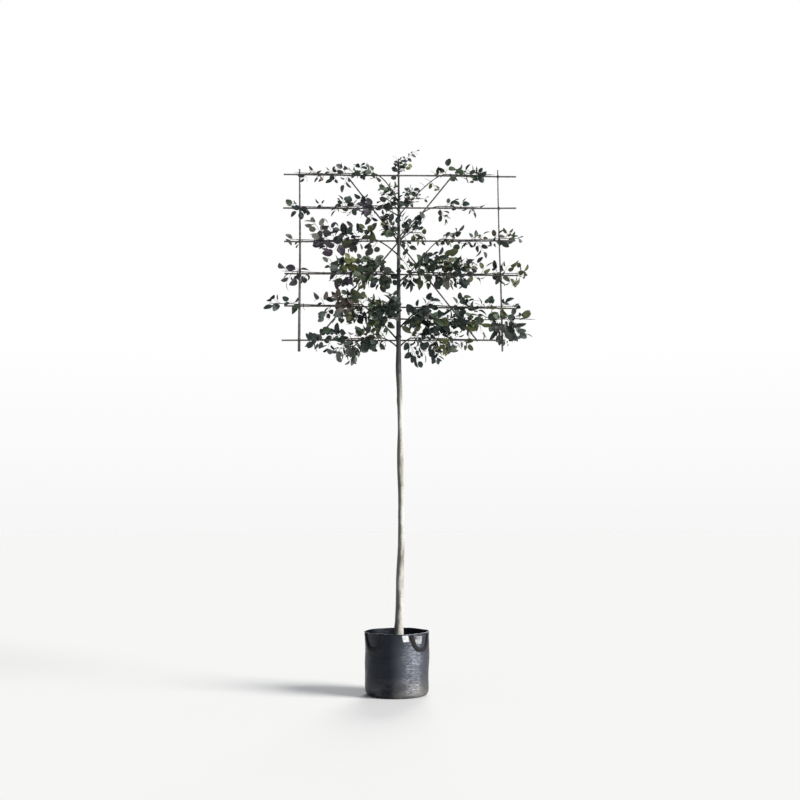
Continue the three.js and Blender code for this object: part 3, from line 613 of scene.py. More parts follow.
def close_with_hub(shape, hub, ring):
    """Joins a ring of vertices, in their order round the hub as seen from outside, to the hub."""
    vertices, faces = shape
    ring = list(ring)
    for here, after in zip(ring, ring[1:] + ring[:1]):
        faces.append((here, after, len(vertices)))
    return np.vstack((vertices, hub)), faces


def relief_noise(x, y, z, scale, detail):
    """Noise with as many finer layers on it as the detail says."""
    place = Vector((x * scale, y * scale, z * scale))
    return noise.fractal(place, RELIEF_DAMPING, RELIEF_FINENESS, detail)


# Trunk and limbs

def trunk_radius(height):
    """The trunk's mean radius."""
    return through_stations(TRUNK_STATIONS, 2, height)


def trunk_point(height):
    """The middle of the trunk, which leans forward in the crown to pass before the canes."""
    lean = smoothstep(height, CROWN_FOOT - CROWN_LEAN, CROWN_FOOT)
    sideways = through_stations(TRUNK_STATIONS, 1, height)
    return np.array((sideways, -lean * (trunk_radius(height) + GAP), height))


def bark_point(height, angle):
    """A point on the trunk's bark, by its flare, its relief and its knots."""
    x, y = cos(angle), sin(angle)
    flare = exp(-(height - TRUNK_STATIONS[0][0]) / FLARE_HEIGHT)
    relief = 1
    for count, depth, start in FLARE_RIDGES:
        relief += depth * flare * sin(count * angle + start)
    for depth, shift, stretch, scale, detail in BARK_RELIEF:
        relief += depth * relief_noise(x + shift, y, height * stretch, scale, detail)
    for knot_height, knot_angle, size in TRUNK_KNOTS:
        rise = (height - knot_height) / size
        turn = (angle - knot_angle + pi) % TURN - pi
        if abs(rise) < KNOT_REACH:
            relief += KNOT_SWELL * exp(-rise * rise - (KNOT_NARROWNESS * turn) ** 2)
    return trunk_point(height) + trunk_radius(height) * relief * np.array((x, y, 0))


def trunk_shape():
    """The trunk with its flare, knots and the fine relief of its bark."""
    heights = np.linspace(TRUNK_STATIONS[0][0], TRUNK_TIP, TRUNK_RINGS + 1)
    grid = point_grid(heights, angles_round(TRUNK_SIDES), bark_point)
    return grid_shape(grid, wrap=True, caps=True)


def leader_shape():
    """The trunk's thin tip over the highest row of canes."""
    heights = np.linspace(TRUNK_TIP - LEADER_OVERLAP, LEADER_TIP, LEADER_RINGS)
    radii = [trunk_radius(height) for height in heights]
    return tube([trunk_point(height) for height in heights], radii, LIMB_SIDES, X_AXIS)


def row_height(row, x):
    """The height of a row of canes, which may slope a little."""
    return ROW_HEIGHTS[row] + ROW_TILTS[row] * x


def limb_level(limb, distance):
    """The height at which a limb lies: its own, or just over its row of canes."""
    if "level" in limb:
        return limb["level"]
    return row_height(limb["row"], limb["side"] * distance) + LIMB_LIFT


def limb_radius(limb, distance):
    """A limb's radius, which tapers to its tip."""
    return lerp(limb["radius"], LIMB_TIP_RADIUS, clamp(distance / limb["end"], 0, 1) ** LIMB_TAPER)


def limb_root_distance(limb):
    """The distance at which a limb starts, inside the trunk."""
    return trunk_point(limb["leave"])[0] * limb["side"]


def limb_point(limb, distance):
    """The middle of a limb at a distance sideways from the plant's middle line."""
    root = limb_root_distance(limb)
    level = limb_level(limb, limb["turn"])
    u = clamp((distance - root) / (limb["turn"] - root), 0, 1)
    risen = 1 - (1 - u) ** limb.get("bend", BOUGH_BEND)
    ease = smoothstep(u, LIMB_EASE, 1)
    wave = LIMB_WAVE * sin(distance / LIMB_WAVE_LENGTH) * ease
    run = (limb_level(limb, distance) - level) * ease
    ahead = smoothstep(u, 0, LIMB_EASE) if "level" in limb else sin(pi * u)
    return np.array((
        limb["side"] * distance,
        -(limb_radius(limb, distance) + GAP) - limb.get("front", 0) * ahead,
        lerp(limb["leave"], level, risen) + run + wave,
    ))


def limb_shape(limb):
    """A limb from inside the trunk to its tip, with leaf scars as slight swellings."""
    root = limb_root_distance(limb)
    distances = np.linspace(root, limb["end"], int((limb["end"] - root) / RING_SPACING) + 1)
    points = [limb_point(limb, distance) for distance in distances]
    turn_x, turn_z = LIMB_RELIEF_TURN

    def relief_at(point, k):
        x, z = point[0] + k * turn_x, point[2]
        return 1 + LIMB_RELIEF * relief_noise(x, z, k * turn_z, LIMB_RELIEF_SCALE, detail=2)

    radii = []
    for distance in distances:
        collar = COLLAR_SWELL * exp(-(distance - root) / COLLAR_LENGTH)
        scar = max(0, sin(distance * TURN / SCAR_SPACING)) ** SCAR_SHARPNESS
        radii.append(limb_radius(limb, distance) * (1 + collar + SCAR_SWELL * scar))
    return tube(points, radii, LIMB_SIDES, Y_AXIS, point_grid(points, range(LIMB_SIDES), relief_at))


def bare_spur_shape(limb, distance, run, rise):
    """A leafless spur from a limb to its tip."""
    root = limb_point(limb, distance)
    tip = root + np.array((run, -BARE_SPUR_FRONT, rise))
    middle = (root + tip) / 2 + np.array(BARE_SPUR_BOW)
    return tube((root, middle, tip), BARE_SPUR_RADII, SHOOT_SIDES)


# Foliage

class Foliage:
    """The shapes of twigs, and of leaves sorted by tint, as they grow."""

    def __init__(self):
        self.twigs = []
        self.leaves = {}

    def add_leaf(self, tint, root, direction, normal, size, draw):
        """A petiole and its blade. The blade's face turns to the normal."""
        petiole = size * draw(*PETIOLE)
        length = size * draw(*LEAF_LENGTH)
        start = root + direction * petiole
        self.twigs.append(tube((root, start), (PETIOLE_RADIUS, PETIOLE_RADIUS), PETIOLE_SIDES))
        traits = (length, draw(*LEAF_WIDTH) * length, draw(*LEAF_FOLD), draw(*LEAF_CURL))
        self.leaves.setdefault(tint, []).append(blade_shape(start, direction, normal, *traits))


def blade_shape(root, direction, normal, length, width, fold, curl):
    """A leaf's blade: an ovate outline, folded up along its midrib, with its tip curled down."""
    across = unit(np.cross(direction, normal))
    face = np.cross(across, direction)
    length *= 1 - LEAF_CURL_SHRINK * curl
    vertices = []
    for t, half in zip(LEAF_ROWS, LEAF_HALF_WIDTHS):
        middle = root + direction * (t * length) - face * (curl * length * t * t)
        aside = across * (half * width / 2)
        raised = face * (fold * half * width / 2)
        if half == 0:
            vertices.append(middle)
        else:
            vertices += [middle + (raised - aside), middle, middle + (raised + aside)]
    return vertices, LEAF_FACES


def leaf_faces():
    """A blade's faces: from its foot, over rows of three points, to its tip."""
    faces = [(0, 2, 1), (0, 3, 2)]
    last = 1 + 3 * (len(LEAF_ROWS) - 3)
    for low in range(1, last, 3):
        faces += [(low, low + 1, low + 4, low + 3), (low + 1, low + 2, low + 5, low + 4)]
    return faces + [(last, last + 1, last + 3), (last + 1, last + 2, last + 3)]


LEAF_FACES = leaf_faces()


def spray_tint(place, draw):
    """The tint that is dealt to a spray by its place in the crown."""
    chance = draw()
    for low_x, high_x, low_z, high_z, tint, share in TINTED_PLACES:
        if low_x < place[0] < high_x and low_z < place[2] < high_z and chance < share:
            return tint
    chance = draw()
    for tint, share in TINT_SHARES:
        if chance < share:
            return tint
        chance -= share
    return TINT_SHARES[0][0]


def leaf_normal(draw):
    """The way that a leaf's face turns: more or less to the front, and rather upwards."""
    roll, tilt = draw(0, TURN), draw(*LEAF_TILT)
    return unit(np.array((tilt * cos(roll), -1, LEAF_UPTURN + tilt * sin(roll))))


def grow_leaf(foliage, tint, root, direction, size, holds, draw):
    """Hangs one leaf, laid flatter where it would leave its space, or none where it still would."""
    for flattening in LEAF_FLATTENINGS:
        laid = unit(direction * np.array((1, 1, flattening)))
        if holds(root + laid * (LEAF_LENGTH[1] * size)):
            foliage.add_leaf(tint, root, laid, leaf_normal(draw), size, draw)
            return


def sides_of(direction):
    """Two directions that are square to one and to each other."""
    side = unit(np.cross(direction, square_axis(direction)))
    return side, np.cross(direction, side)


def grow_shoot(foliage, root, direction, length, turn, size, holds, draw):
    """A shoot that bends slightly upwards and bears leaves by turns on both sides, and spurs."""
    tip = root + direction * length
    if not holds(tip):
        return
    bend = np.array((draw(*SHOOT_BOW), draw(*SHOOT_BOW), draw(*SHOOT_RISE))) * length

    def place_at(t):
        return root + direction * (length * t) + bend * t * (1 - t) * 2

    points = [place_at(t) for t in np.linspace(0, 1, SHOOT_POINTS)]
    foliage.twigs.append(tube(points, np.linspace(*SHOOT_RADII, SHOOT_POINTS), SHOOT_SIDES))
    tint = spray_tint(tip, draw)
    leaves = max(LEAST_LEAVES, round(length / LEAF_SPACING))
    side, other = sides_of(direction)
    for k in range(leaves):
        at_end = k == leaves - 1
        place = place_at(END_LEAF_PLACE if at_end else (k + SIDE_LEAF_PLACE) / leaves)
        angle = turn + k * pi + draw(*LEAF_JITTER)
        sideways = side * cos(angle) + other * sin(angle)
        forward, across = END_LEAF if at_end else (draw(*SIDE_LEAF_FORWARD), SIDE_LEAF_ACROSS)
        heading = unit(direction * forward + sideways * across + Z_AXIS * draw(*LEAF_DROOP))
        grow_leaf(foliage, tint, place, heading, size, holds, draw)
        if draw() < SPUR_SHARE and not at_end:
            grow_spur(foliage, tint, place, unit(heading + direction), size, holds, draw)


def grow_spur(foliage, tint, root, direction, size, holds, draw):
    """A short spur with a tuft of leaves."""
    tip = root + direction * draw(*SPUR_LENGTH)
    if not holds(tip):
        return
    radius = SHOOT_RADII[1]
    foliage.twigs.append(tube((root, tip), (radius, radius * SPUR_TAPER), SPUR_SIDES))
    side, other = sides_of(direction)
    start = draw(0, TURN)
    for k in range(SPUR_LEAVES):
        angle = start + k * GOLDEN_TURN
        heading = direction * SPUR_LEAF_FORWARD + side * cos(angle) + other * sin(angle)
        grow_leaf(foliage, tint, tip, unit(heading), size, holds, draw)


def limb_holds(limb, space_before=SPACE_BEFORE):
    """Whether a point is in a limb's own space, which is as high and low as its stretch there."""
    def holds(point):
        distance = point[0] * limb["side"]
        if distance < limb["start"] - space_before:
            return False
        for to, up, down, _ in limb["stretches"]:
            if distance < to + SPACE_EDGE:
                height = point[2] - limb_level(limb, clamp(distance, limb["turn"], limb["end"]))
                inside = -down - SPACE_EDGE < height < up + SPACE_EDGE
                return inside and abs(point[1]) < CROWN_DEPTH
        return False
    return holds


def aim_shoot(limb, distance, turn, up, down, lean, draw):
    """The root, direction and length of a shoot that keeps to its stretch's reach."""
    outward = unit(limb_point(limb, distance + STEP) - limb_point(limb, distance - STEP))
    back = CROWN_FLATNESS * sin(turn)
    rise = copysign(sqrt(abs(cos(turn))), cos(turn))
    upward = up if rise > 0 else down
    depth = clamp(DEPTH_SHARE * (up + down), LEAST_DEPTH, CROWN_DEPTH)
    reach = hypot(back, rise) / hypot(back / depth, rise / upward)
    direction = unit(outward * draw(*lean) + Y_AXIS * back + Z_AXIS * rise)
    length = max(SHOOT_SHORTEST, reach * draw(*SHOOT_REACH) - LEAF_LENGTH[1] / 2)
    return limb_point(limb, distance), direction, length


def grow_inner_shoots(foliage, limb, size, draw):
    """Shoots near a limb's root that turn back and fill the space beside and before the trunk."""
    holds = limb_holds(limb, INNER_SPACE)

    def holds_clear(point):
        centre, radius = trunk_point(point[2]), trunk_radius(point[2])
        beside = (point[0] - centre[0]) * limb["side"] - radius
        before = centre[1] - point[1] - radius
        return holds(point) and max(beside, before) > TRUNK_CLEARANCE

    _, up, down, _ = limb["stretches"][0]
    middle_turns = (-INNER_FRONT, pi + INNER_FRONT)
    for count, middle_turn in zip(limb.get("inner", (0, 0)), middle_turns):
        for k in range(count):
            distance = limb["start"] + INNER_RUN * (k + 0.5) / count
            turn = middle_turn + draw(*INNER_SPREAD)
            shoot = aim_shoot(limb, distance, turn, up, down, INNER_LEAN, draw)
            grow_shoot(foliage, *shoot, turn, size, holds_clear, draw)


def grow_limb(foliage, limb, draw):
    """All the shoots of one limb, stretch by stretch, turning round it by the golden angle."""
    holds = limb_holds(limb)
    size = limb.get("leaf_size", 1)
    start = limb["start"]
    turn = draw(0, TURN)
    for to, up, down, shoots in limb["stretches"]:
        end = min(to, limb["end"])
        for k in range(shoots):
            distance = lerp(start, end, (k + 0.5 + draw(*SHOOT_JITTER)) / shoots)
            turn += GOLDEN_TURN + draw(*SHOOT_JITTER)
            shoot = aim_shoot(limb, distance, turn, up, down, SHOOT_LEAN, draw)
            grow_shoot(foliage, *shoot, turn, size, holds, draw)
        start = to
    tip = limb_point(limb, limb["end"])
    outward = unit(tip - limb_point(limb, limb["end"] - 2 * STEP))
    length = max(SHOOT_SHORTEST, start - limb["end"] - LEAF_LENGTH[0] / 2)
    grow_shoot(foliage, tip, outward, length, turn, size * limb.get("tip_size", 1), holds, draw)
    grow_inner_shoots(foliage, limb, size, draw)


def grow_leader(foliage, draw):
    """The shoots of the trunk's tip, in a space of their own."""
    space = LEADER_SPACE

    def holds(point):
        in_width = space["left"] < point[0] < space["right"]
        return in_width and space["low"] < point[2] < space["high"] and abs(point[1]) < CROWN_DEPTH

    for k in range(LEADER_TWIGS):
        turn = GOLDEN_TURN * (k + 1)
        root = trunk_point(lerp(TRUNK_TIP, LEADER_TIP, (k + 0.5) / LEADER_TWIGS))
        reach = space["right"] if cos(turn) > 0 else -space["left"]
        direction = unit(np.array((cos(turn), sin(turn), LEADER_LIFT)))
        length = max(SHOOT_SHORTEST, reach * draw(*LEADER_REACH) - LEAF_LENGTH[1] / 2)
        grow_shoot(foliage, root, direction, length, turn, LEADER_LEAF_SIZE, holds, draw)


# Cane rack

def cane_shape(point_at, radius_at, length, first_joint):
    """A cane along a line, with a swelling and a groove at each of its joints."""
    rings = int(length / RING_SPACING)
    points, radii = [], []
    for i in range(rings + 1):
        t = i / rings
        past = (t * length + first_joint) % JOINT_SPACING - JOINT_SPACING / 2
        swell = exp(-(past / JOINT_WIDTH) ** 2)
        swell -= GROOVE_DEPTH * exp(-((past - GROOVE_PLACE) / GROOVE_WIDTH) ** 2)
        points.append(point_at(t))
        radii.append(radius_at(t) * (1 + JOINT_SWELL * swell))
    return tube(points, radii, CANE_SIDES, Y_AXIS)


def row_shape(row):
    """A level cane, which lies on the trunk's and limbs' side of the posts."""
    low, high = ROW_LEFT_ENDS[row], ROW_RIGHT_ENDS[row]

    def point_at(t):
        x = lerp(low, high, t)
        wave = ROW_WAVE * sin(ROW_WAVES * x + row)
        return np.array((x, CANE_RADIUS, row_height(row, x) + wave))

    return cane_shape(point_at, lambda t: CANE_RADIUS, high - low, ROW_JOINT_STEP * row)


def post_shape(post, index):
    """An upright cane behind the rows, thicker at its foot."""
    def radius_at(t):
        return lerp(post["foot_radius"], post["head_radius"], t)

    def point_at(t):
        height = lerp(POST_FOOT, post["top"], t)
        x = lerp(post["foot"], post["head"], t) + POST_WAVE * sin(POST_WAVES * height + index)
        return np.array((x, POST_FRONT + radius_at(t), height))

    return cane_shape(point_at, radius_at, post["top"] - POST_FOOT, POST_JOINT_STEP * index)


def brace_shape(brace):
    """A slanting cane, which bows out behind the middle post where they cross."""
    middle = POSTS[1]
    bow = 2 * middle["foot_radius"] + GAP + (brace["layer"] - 1) * (2 * BRACE_RADIUS + GAP)
    (top_x, top_z), (foot_x, foot_z) = brace["top"], brace["foot"]
    crossing = (middle["foot"] - top_x) / (foot_x - top_x)

    def point_at(t):
        away = 1 - t / crossing if t < crossing else (t - crossing) / (1 - crossing)
        depth = POST_FRONT + BRACE_RADIUS + bow * (1 - away ** 2)
        return np.array((lerp(top_x, foot_x, t), depth, lerp(top_z, foot_z, t)))

    length = hypot(foot_x - top_x, foot_z - top_z)
    return cane_shape(point_at, lambda t: BRACE_RADIUS, length, BRACE_FIRST_JOINT)


def loop_shape(centre, first, second, tie):
    """A tie: turns of thin tape round two half-axes, set apart by the pitch along their normal."""
    normal = unit(np.cross(first, second))
    points = []
    for i in range(TIE_POINTS * tie["turns"] + 1):
        angle = TURN * i / TIE_POINTS
        drift = normal * tie["pitch"] * (i / TIE_POINTS - tie["turns"] / 2)
        points.append(centre + first * cos(angle) + second * sin(angle) + drift)
    return tube(points, [tie["tape"]] * len(points), TIE_SIDES, normal)


def slanting_loop(centre, slant, tie):
    """A tie that crosses its canes at a slant."""
    first = unit(np.array((1, 0, slant))) * tie["width"]
    return loop_shape(centre, first, Y_AXIS * tie["depth"], tie)


def rack_ties():
    """Crossed ties where rows meet posts, and plain ones where limbs lie on the rows."""
    ties = []
    for row, height in enumerate(ROW_HEIGHTS):
        for post in POSTS:
            x = lerp(post["foot"], post["head"], (height - POST_FOOT) / POST_RUN)
            centre = np.array((x, POST_FRONT, row_height(row, x)))
            ties += [slanting_loop(centre, 1, CROSS_TIE), slanting_loop(centre, -1, CROSS_TIE)]
    for limb in LIMBS:
        if "row" not in limb:
            continue
        for distance in np.arange(limb["turn"] + LIMB_TIE_START, limb["end"], LIMB_TIE_SPACING):
            x, _, z = limb_point(limb, distance)
            row_z = row_height(limb["row"], x)
            centre = np.array((x, CANE_RADIUS / 2 - TIE_SLACK, (z + row_z) / 2))
            half_height = (z - row_z) / 2 + CANE_RADIUS + TIE_SLACK
            half_depth = Y_AXIS * LIMB_TIE["depth"]
            ties.append(loop_shape(centre, Z_AXIS * half_height, half_depth, LIMB_TIE))
    return ties


def trunk_ties():
    """Soft ties round the trunk and the middle post, and thick ones where the braces cross."""
    ties = []
    for row, height in enumerate(ROW_HEIGHTS):
        x, _, z = trunk_point(height + TRUNK_TIE_LIFT)
        radius = trunk_radius(height)
        depth = (POST_FRONT + 2 * POSTS[1]["foot_radius"] + 2 * radius) / 2
        centre = np.array((x, depth - 2 * radius - TIE_SLACK, z))
        half_width, half_depth = radius + TRUNK_TIE["side"], depth + TRUNK_TIE["back"]
        ties.append(loop_shape(centre, X_AXIS * half_width, Y_AXIS * half_depth, TRUNK_TIE))
        if row == BRACE_TIE_ROW:
            crossing = np.array((x, BRACE_TIE_BACK, height))
            ties += [slanting_loop(crossing, slant, BRACE_TIE) for slant in BRACE_TIE_SLANTS]
    return ties


# Pot

def pot_mean_radius(height):
    """The pot's outer radius without its creases."""
    if height < FOOT_HEIGHT:
        t = 1 - height / FOOT_HEIGHT
        return POT_BASE_RADIUS + (POT_WAIST - POT_BASE_RADIUS) * sqrt(max(0, 1 - t * t))
    if height < POT_HEIGHT - RIM_BAND:
        return lerp(POT_WAIST, POT_RADIUS - BAND_DEPTH, (height - FOOT_HEIGHT) / WALL_RISE)
    return POT_RADIUS


def pot_crease(angle, height):
    """How far the soft wall stands in or out there: slack bellies, level folds and fine creases."""
    x, y = cos(angle), sin(angle)
    belly = BELLY_DEPTH * relief_noise(x, y, height * BELLY_STRETCH, BELLY_SCALE, detail=2)
    level = height * WARP_STRETCH + WARP_SHIFT
    warp = WARP * noise.noise(Vector((x * WARP_SCALE, y * WARP_SCALE, level)))
    creases = 0
    for depth, scale, stretch, share in CREASES:
        fold = noise.noise(Vector((x * scale, y * scale, height * stretch + share * warp)))
        creases += depth * (1 - 2 * abs(fold))
    foot, rim = smoothstep(height, *CREASES_START), smoothstep(height, *CREASES_END)
    shifted = (x + SLACK_SHIFTS[0], y, height * SLACK_STRETCH + SLACK_SHIFTS[1])
    slack = smoothstep(relief_noise(*shifted, SLACK_SCALE, detail=2), *SLACK_SPREAD)
    toward = SLACK_AND_SHEEN_SIDE[0] * x + SLACK_AND_SHEEN_SIDE[1] * y
    creased = lerp(TAUT_SHARE, 1, smoothstep(toward, *SLACK_TURN))
    return belly + foot * (1 - rim) * slack * creased * creases


def inner_radius(angle, height):
    """The radius of the wall's inner side, which follows the creases of its outer one."""
    return pot_mean_radius(height) + pot_crease(angle, height) - POT_WALL


def rim_sag(angle):
    """How far the soft rim rises or dips there."""
    return RIM_SAG * noise.noise(Vector(round_point(RIM_SCALE, angle, RIM_SHIFT)))


def pot_rings():
    """The radius and height of the pot's rings from the underside over the rim to the soil."""
    rings = [(POT_BASE_RADIUS * t, 0) for t in np.linspace(BASE_START, 1, BASE_RINGS)]
    for t in np.linspace(0, 1, POT_RINGS)[1:]:
        height = POT_HEIGHT * (FOOT_CROWDING * t * t + (1 - FOOT_CROWDING) * t)
        rings.append((pot_mean_radius(height), height))
    rings.append((POT_RADIUS - POT_WALL / 2, POT_HEIGHT + RIM_CREST))
    for t in np.linspace(0, 1, INNER_RINGS):
        height = lerp(POT_HEIGHT, SOIL_TOP - WALL_UNDER_SOIL, t)
        rings.append((POT_RADIUS - POT_WALL - INNER_TAPER * t, height))
    return rings


def pot_point(ring, angle):
    """A point on one of the pot's rings, with the wall's creases and the rim's sag."""
    radius, height = ring
    reach = radius + pot_crease(angle, height) * smoothstep(height, 0, FOOT_EASE)
    rise = height + rim_sag(angle) * smoothstep(height, SAG_START, POT_HEIGHT)
    return round_point(reach, angle, rise)


def pot_shape():
    """The pot's outer wall from the underside to the rim, and its inner wall down to the soil."""
    shape = grid_shape(point_grid(pot_rings(), angles_round(POT_SIDES), pot_point), wrap=True)
    return close_with_hub(shape, (0, 0, 0), reversed(range(POT_SIDES)))


def hem_shape():
    """The rolled hem along the pot's rim."""
    points = []
    for angle in (*angles_round(POT_SIDES), TURN):
        reach = POT_RADIUS + pot_crease(angle, POT_HEIGHT) - HEM_TUCK
        points.append(round_point(reach, angle, POT_HEIGHT - HEM_TUCK + rim_sag(angle)))
    return tube(points, [HEM_RADIUS] * len(points), HEM_SIDES, Z_AXIS)


def wall_point(angle, height, lift):
    """A point that far off the pot's wall. Angle 0 is the front, and it grows to the right."""
    turn = angle - pi / 2
    return round_point(pot_mean_radius(height) + pot_crease(turn, height) + lift, turn, height)


def handle_line(ring):
    """The turn and the drop of a strap's middle line at one of its rings."""
    swing = 2 * clamp(ring / HANDLE_RINGS, 0, 1) - 1
    turn = (HANDLE_SPAN / 2) * copysign(abs(swing) ** HANDLE_SPREAD, swing)
    return turn, HANDLE_DROP * (1 - abs(swing) ** HANDLE_FULLNESS)


def handle_shape(middle):
    """A flat strap that hangs in a loop on the pot's wall."""
    def point_at(ring, corner):
        turn, drop = handle_line(ring)
        turn_behind, drop_behind = handle_line(ring - 1)
        turn_ahead, drop_ahead = handle_line(ring + 1)
        run = turn_ahead * POT_RADIUS - turn_behind * POT_RADIUS
        along = unit(np.array((run, drop_behind - drop_ahead)))
        shift = corner[0] * HANDLE_WIDTH / 2
        turned = middle + turn + shift * -along[1] / POT_RADIUS
        level = POT_HEIGHT - HANDLE_TOP - drop + shift * along[0]
        lift = HANDLE_LIFT + corner[1] * HANDLE_THICKNESS / 2
        return wall_point(turned, min(level, POT_HEIGHT - HANDLE_EDGE), lift)

    section = HALF_SECTION + [(-sideways, -outward) for sideways, outward in HALF_SECTION]
    grid = point_grid(range(HANDLE_RINGS + 1), section[::-1], point_at)
    return grid_shape(grid, wrap=True, caps=True)


def patch_shape(patch):
    """A blank patch of thin card on the pot's wall."""
    def point_at(height, x):
        aside = patch["skew"] * (patch["top"] - height) / (patch["top"] - patch["foot"])
        return wall_point(asin((x + aside) / POT_RADIUS), height, PATCH_LIFT)

    heights = np.linspace(patch["foot"], patch["top"], PATCH_POINTS)
    places = np.linspace(patch["left"], patch["right"], PATCH_POINTS)
    return grid_shape(point_grid(heights, places, point_at), wrap=False)


def soil_point(ring, angle):
    """A point on a ring of the soil: down its side, or at a share of its top's radius."""
    below, share = ring
    if below > 0:
        return round_point(inner_radius(angle, SOIL_TOP - below), angle, SOIL_TOP - below)
    radius = (inner_radius(angle, SOIL_TOP) + SOIL_TUCK) * share
    x, y = radius * cos(angle), radius * sin(angle)
    lumps = LUMP_HEIGHT * relief_noise(x, y, 0, LUMP_SCALE, LUMP_DETAIL)
    lumps += GRAIN_HEIGHT * abs(relief_noise(x, y, GRAIN_SHIFT, GRAIN_SCALE, detail=2))
    return x, y, SOIL_TOP - SOIL_SLOPE * radius / SOIL_RADIUS + lumps - SOIL_SINK


def soil_shape():
    """The soil's lumpy top, a little higher at the trunk, and its side down inside the wall."""
    rings = [(below, 1) for below in SOIL_SIDE]
    rings += [(0, 1 - i / SOIL_RINGS) for i in range(SOIL_RINGS)]
    shape = grid_shape(point_grid(rings, angles_round(SOIL_SIDES), soil_point), wrap=True)
    last_ring = range((len(rings) - 1) * SOIL_SIDES, len(rings) * SOIL_SIDES)
    return close_with_hub(shape, (0, 0, SOIL_TOP - SOIL_SINK), last_ring)


def soil_crumbs():
    """Loose crumbs and chips on the soil, each with four corners."""
    crumbs = []
    draw = seeded_random(CRUMB_SEED)
    for _ in range(CRUMBS):
        radius = CRUMB_REACH * sqrt(draw(*CRUMB_SPREAD))
        centre = round_point(radius, draw(0, TURN), SOIL_TOP + CRUMB_LIFT)
        size = draw(*CRUMB_SIZE)
        corners = []
        for _ in range(4):
            corners.append(centre + size * unit(np.array([draw(-1, 1) for _ in range(3)])))
        crumbs.append((corners, CRUMB_FACES))
    return crumbs


# Materials

class NodeTree:
    """The nodes of a material or the world. A value may be another node's output."""

    def __init__(self, tree):
        self.nodes = tree.nodes
        self.links = tree.links

    def put(self, node, values):
        """Sets a node's inputs to numbers or colours, or links them."""
        for name, value in values.items():
            socket = node.inputs[name]
            if isinstance(value, bpy.types.NodeSocket):
                self.links.new(value, socket)
            else:
                socket.default_value = (*value, 1) if socket.type == "RGBA" else value

    def add(self, kind, output, values):
        """Adds a node and gives one of its outputs."""
        node = self.nodes.new("ShaderNode" + kind)
        self.put(node, values)
        return node.outputs[output]

    def place(self, scale=(1, 1, 1)):
        """The place on the object, stretched along each axis."""
        where = self.add("TexCoord", "Object", {})
        return self.add("Mapping", "Vector", {"Vector": where, "Scale": scale})

    def along(self, axis, vector):
        """One coordinate of a vector."""
        return self.add("SeparateXYZ", axis, {"Vector": vector})

    def noise(self, scale, detail, roughness=0.55):
        """Noise over the object, with a scale along each axis."""
        values = {"Vector": self.place(scale), "Scale": 1, "Detail": detail, "Roughness": roughness}
        return self.add("TexNoise", "Fac", values)

    def ramp(self, factor, stops):
        """Colours at their places along a factor."""
        ramp = self.nodes.new("ShaderNodeValToRGB")
        elements = ramp.color_ramp.elements
        while len(elements) < len(stops):
            elements.new(0.5)
        for element, (place, colour) in zip(elements, stops):
            element.position = place
            element.color = (*colour, 1)
        self.put(ramp, {"Fac": factor})
        return ramp.outputs["Color"]

    def range(self, value, low, high, new_low, new_high, kind="LINEAR"):
        """A value that is brought from one range to another."""
        node = self.nodes.new("ShaderNodeMapRange")
        node.interpolation_type = kind
        self.put(node, {"Value": value, "From Min": low, "From Max": high})
        self.put(node, {"To Min": new_low, "To Max": new_high})
        return node.outputs["Result"]

    def maths(self, operation, *values):
        """A sum, a product or both, of values."""
        node = self.nodes.new("ShaderNodeMath")
        node.operation = operation
        self.put(node, dict(enumerate(values)))
        return node.outputs[0]

    def mix(self, factor, first, second):
        """The second colour laid over the first by a factor."""
        node = self.nodes.new("ShaderNodeMix")
        node.data_type = "RGBA"
        self.put(node, {"Factor": factor, 6: first, 7: second})
        return node.outputs[2]


class Look(NodeTree):
    """A new material, plain until more nodes are added."""

    def __init__(self, name, colour, roughness):
        self.material = bpy.data.materials.new(name)
        self.material.use_nodes = True
        self.material.diffuse_color = (*colour, 1)
        super().__init__(self.material.node_tree)
        self.shade({"Base Color": colour, "Roughness": roughness})

    def shade(self, values):
        """Sets inputs of the material's own shader."""
        self.put(self.nodes["Principled BSDF"], values)

    def bump(self, height, strength, distance):
        """Adds fine relief to the shading."""
        values = {"Height": height, "Strength": strength, "Distance": distance}
        self.shade({"Normal": self.add("Bump", "Normal", values)})


def bark_material():
    """Smooth silver-grey bark with olive patches and level rows of pores, with painted shade on its
    left side, away from the key light, and in the crown.
    """
    look = Look("bark", (0.30, 0.28, 0.24), 0.75)
    patches = look.noise((18, 18, 5), 5)
    skin = look.ramp(patches, [
        (0.30, (0.21, 0.20, 0.17)),
        (0.44, (0.41, 0.40, 0.36)),
        (0.58, (0.56, 0.55, 0.52)),
        (0.75, (0.65, 0.64, 0.62)),
    ])
    pores = look.range(look.noise((55, 55, 420), 3), 0.60, 0.70, 0, 1)
    dotted = look.mix(pores, skin, (0.09, 0.075, 0.055))
    # Painted shade: the bark that faces left, away from the key light, is darkened to a dark olive
    # grey, with a ragged edge from the patches.
    to_right = look.along("X", look.add("TexCoord", "Normal", {}))
    ragged = look.maths("ADD", to_right, look.range(patches, 0.3, 0.7, -0.35, 0.35))
    painted_left_shade = look.range(ragged, 0.25, -0.35, 0, 0.85)
    bark_with_left_shade = look.mix(painted_left_shade, dotted, (0.072, 0.072, 0.055))
    # Painted shade: the trunk is darkened from 1.8 m up into the crown, where the leaves shade it.
    painted_crown_shade = look.range(look.along("Z", look.place()), 1.80, 2.12, 0, 0.94)
    look.shade({
        "Base Color": look.mix(painted_crown_shade, bark_with_left_shade, (0.028, 0.028, 0.029)),
        "Roughness": look.range(patches, 0.3, 0.8, 0.85, 0.6),
    })
    look.bump(look.noise((120, 120, 260), 6), 0.5, 0.0015)
    return look.material


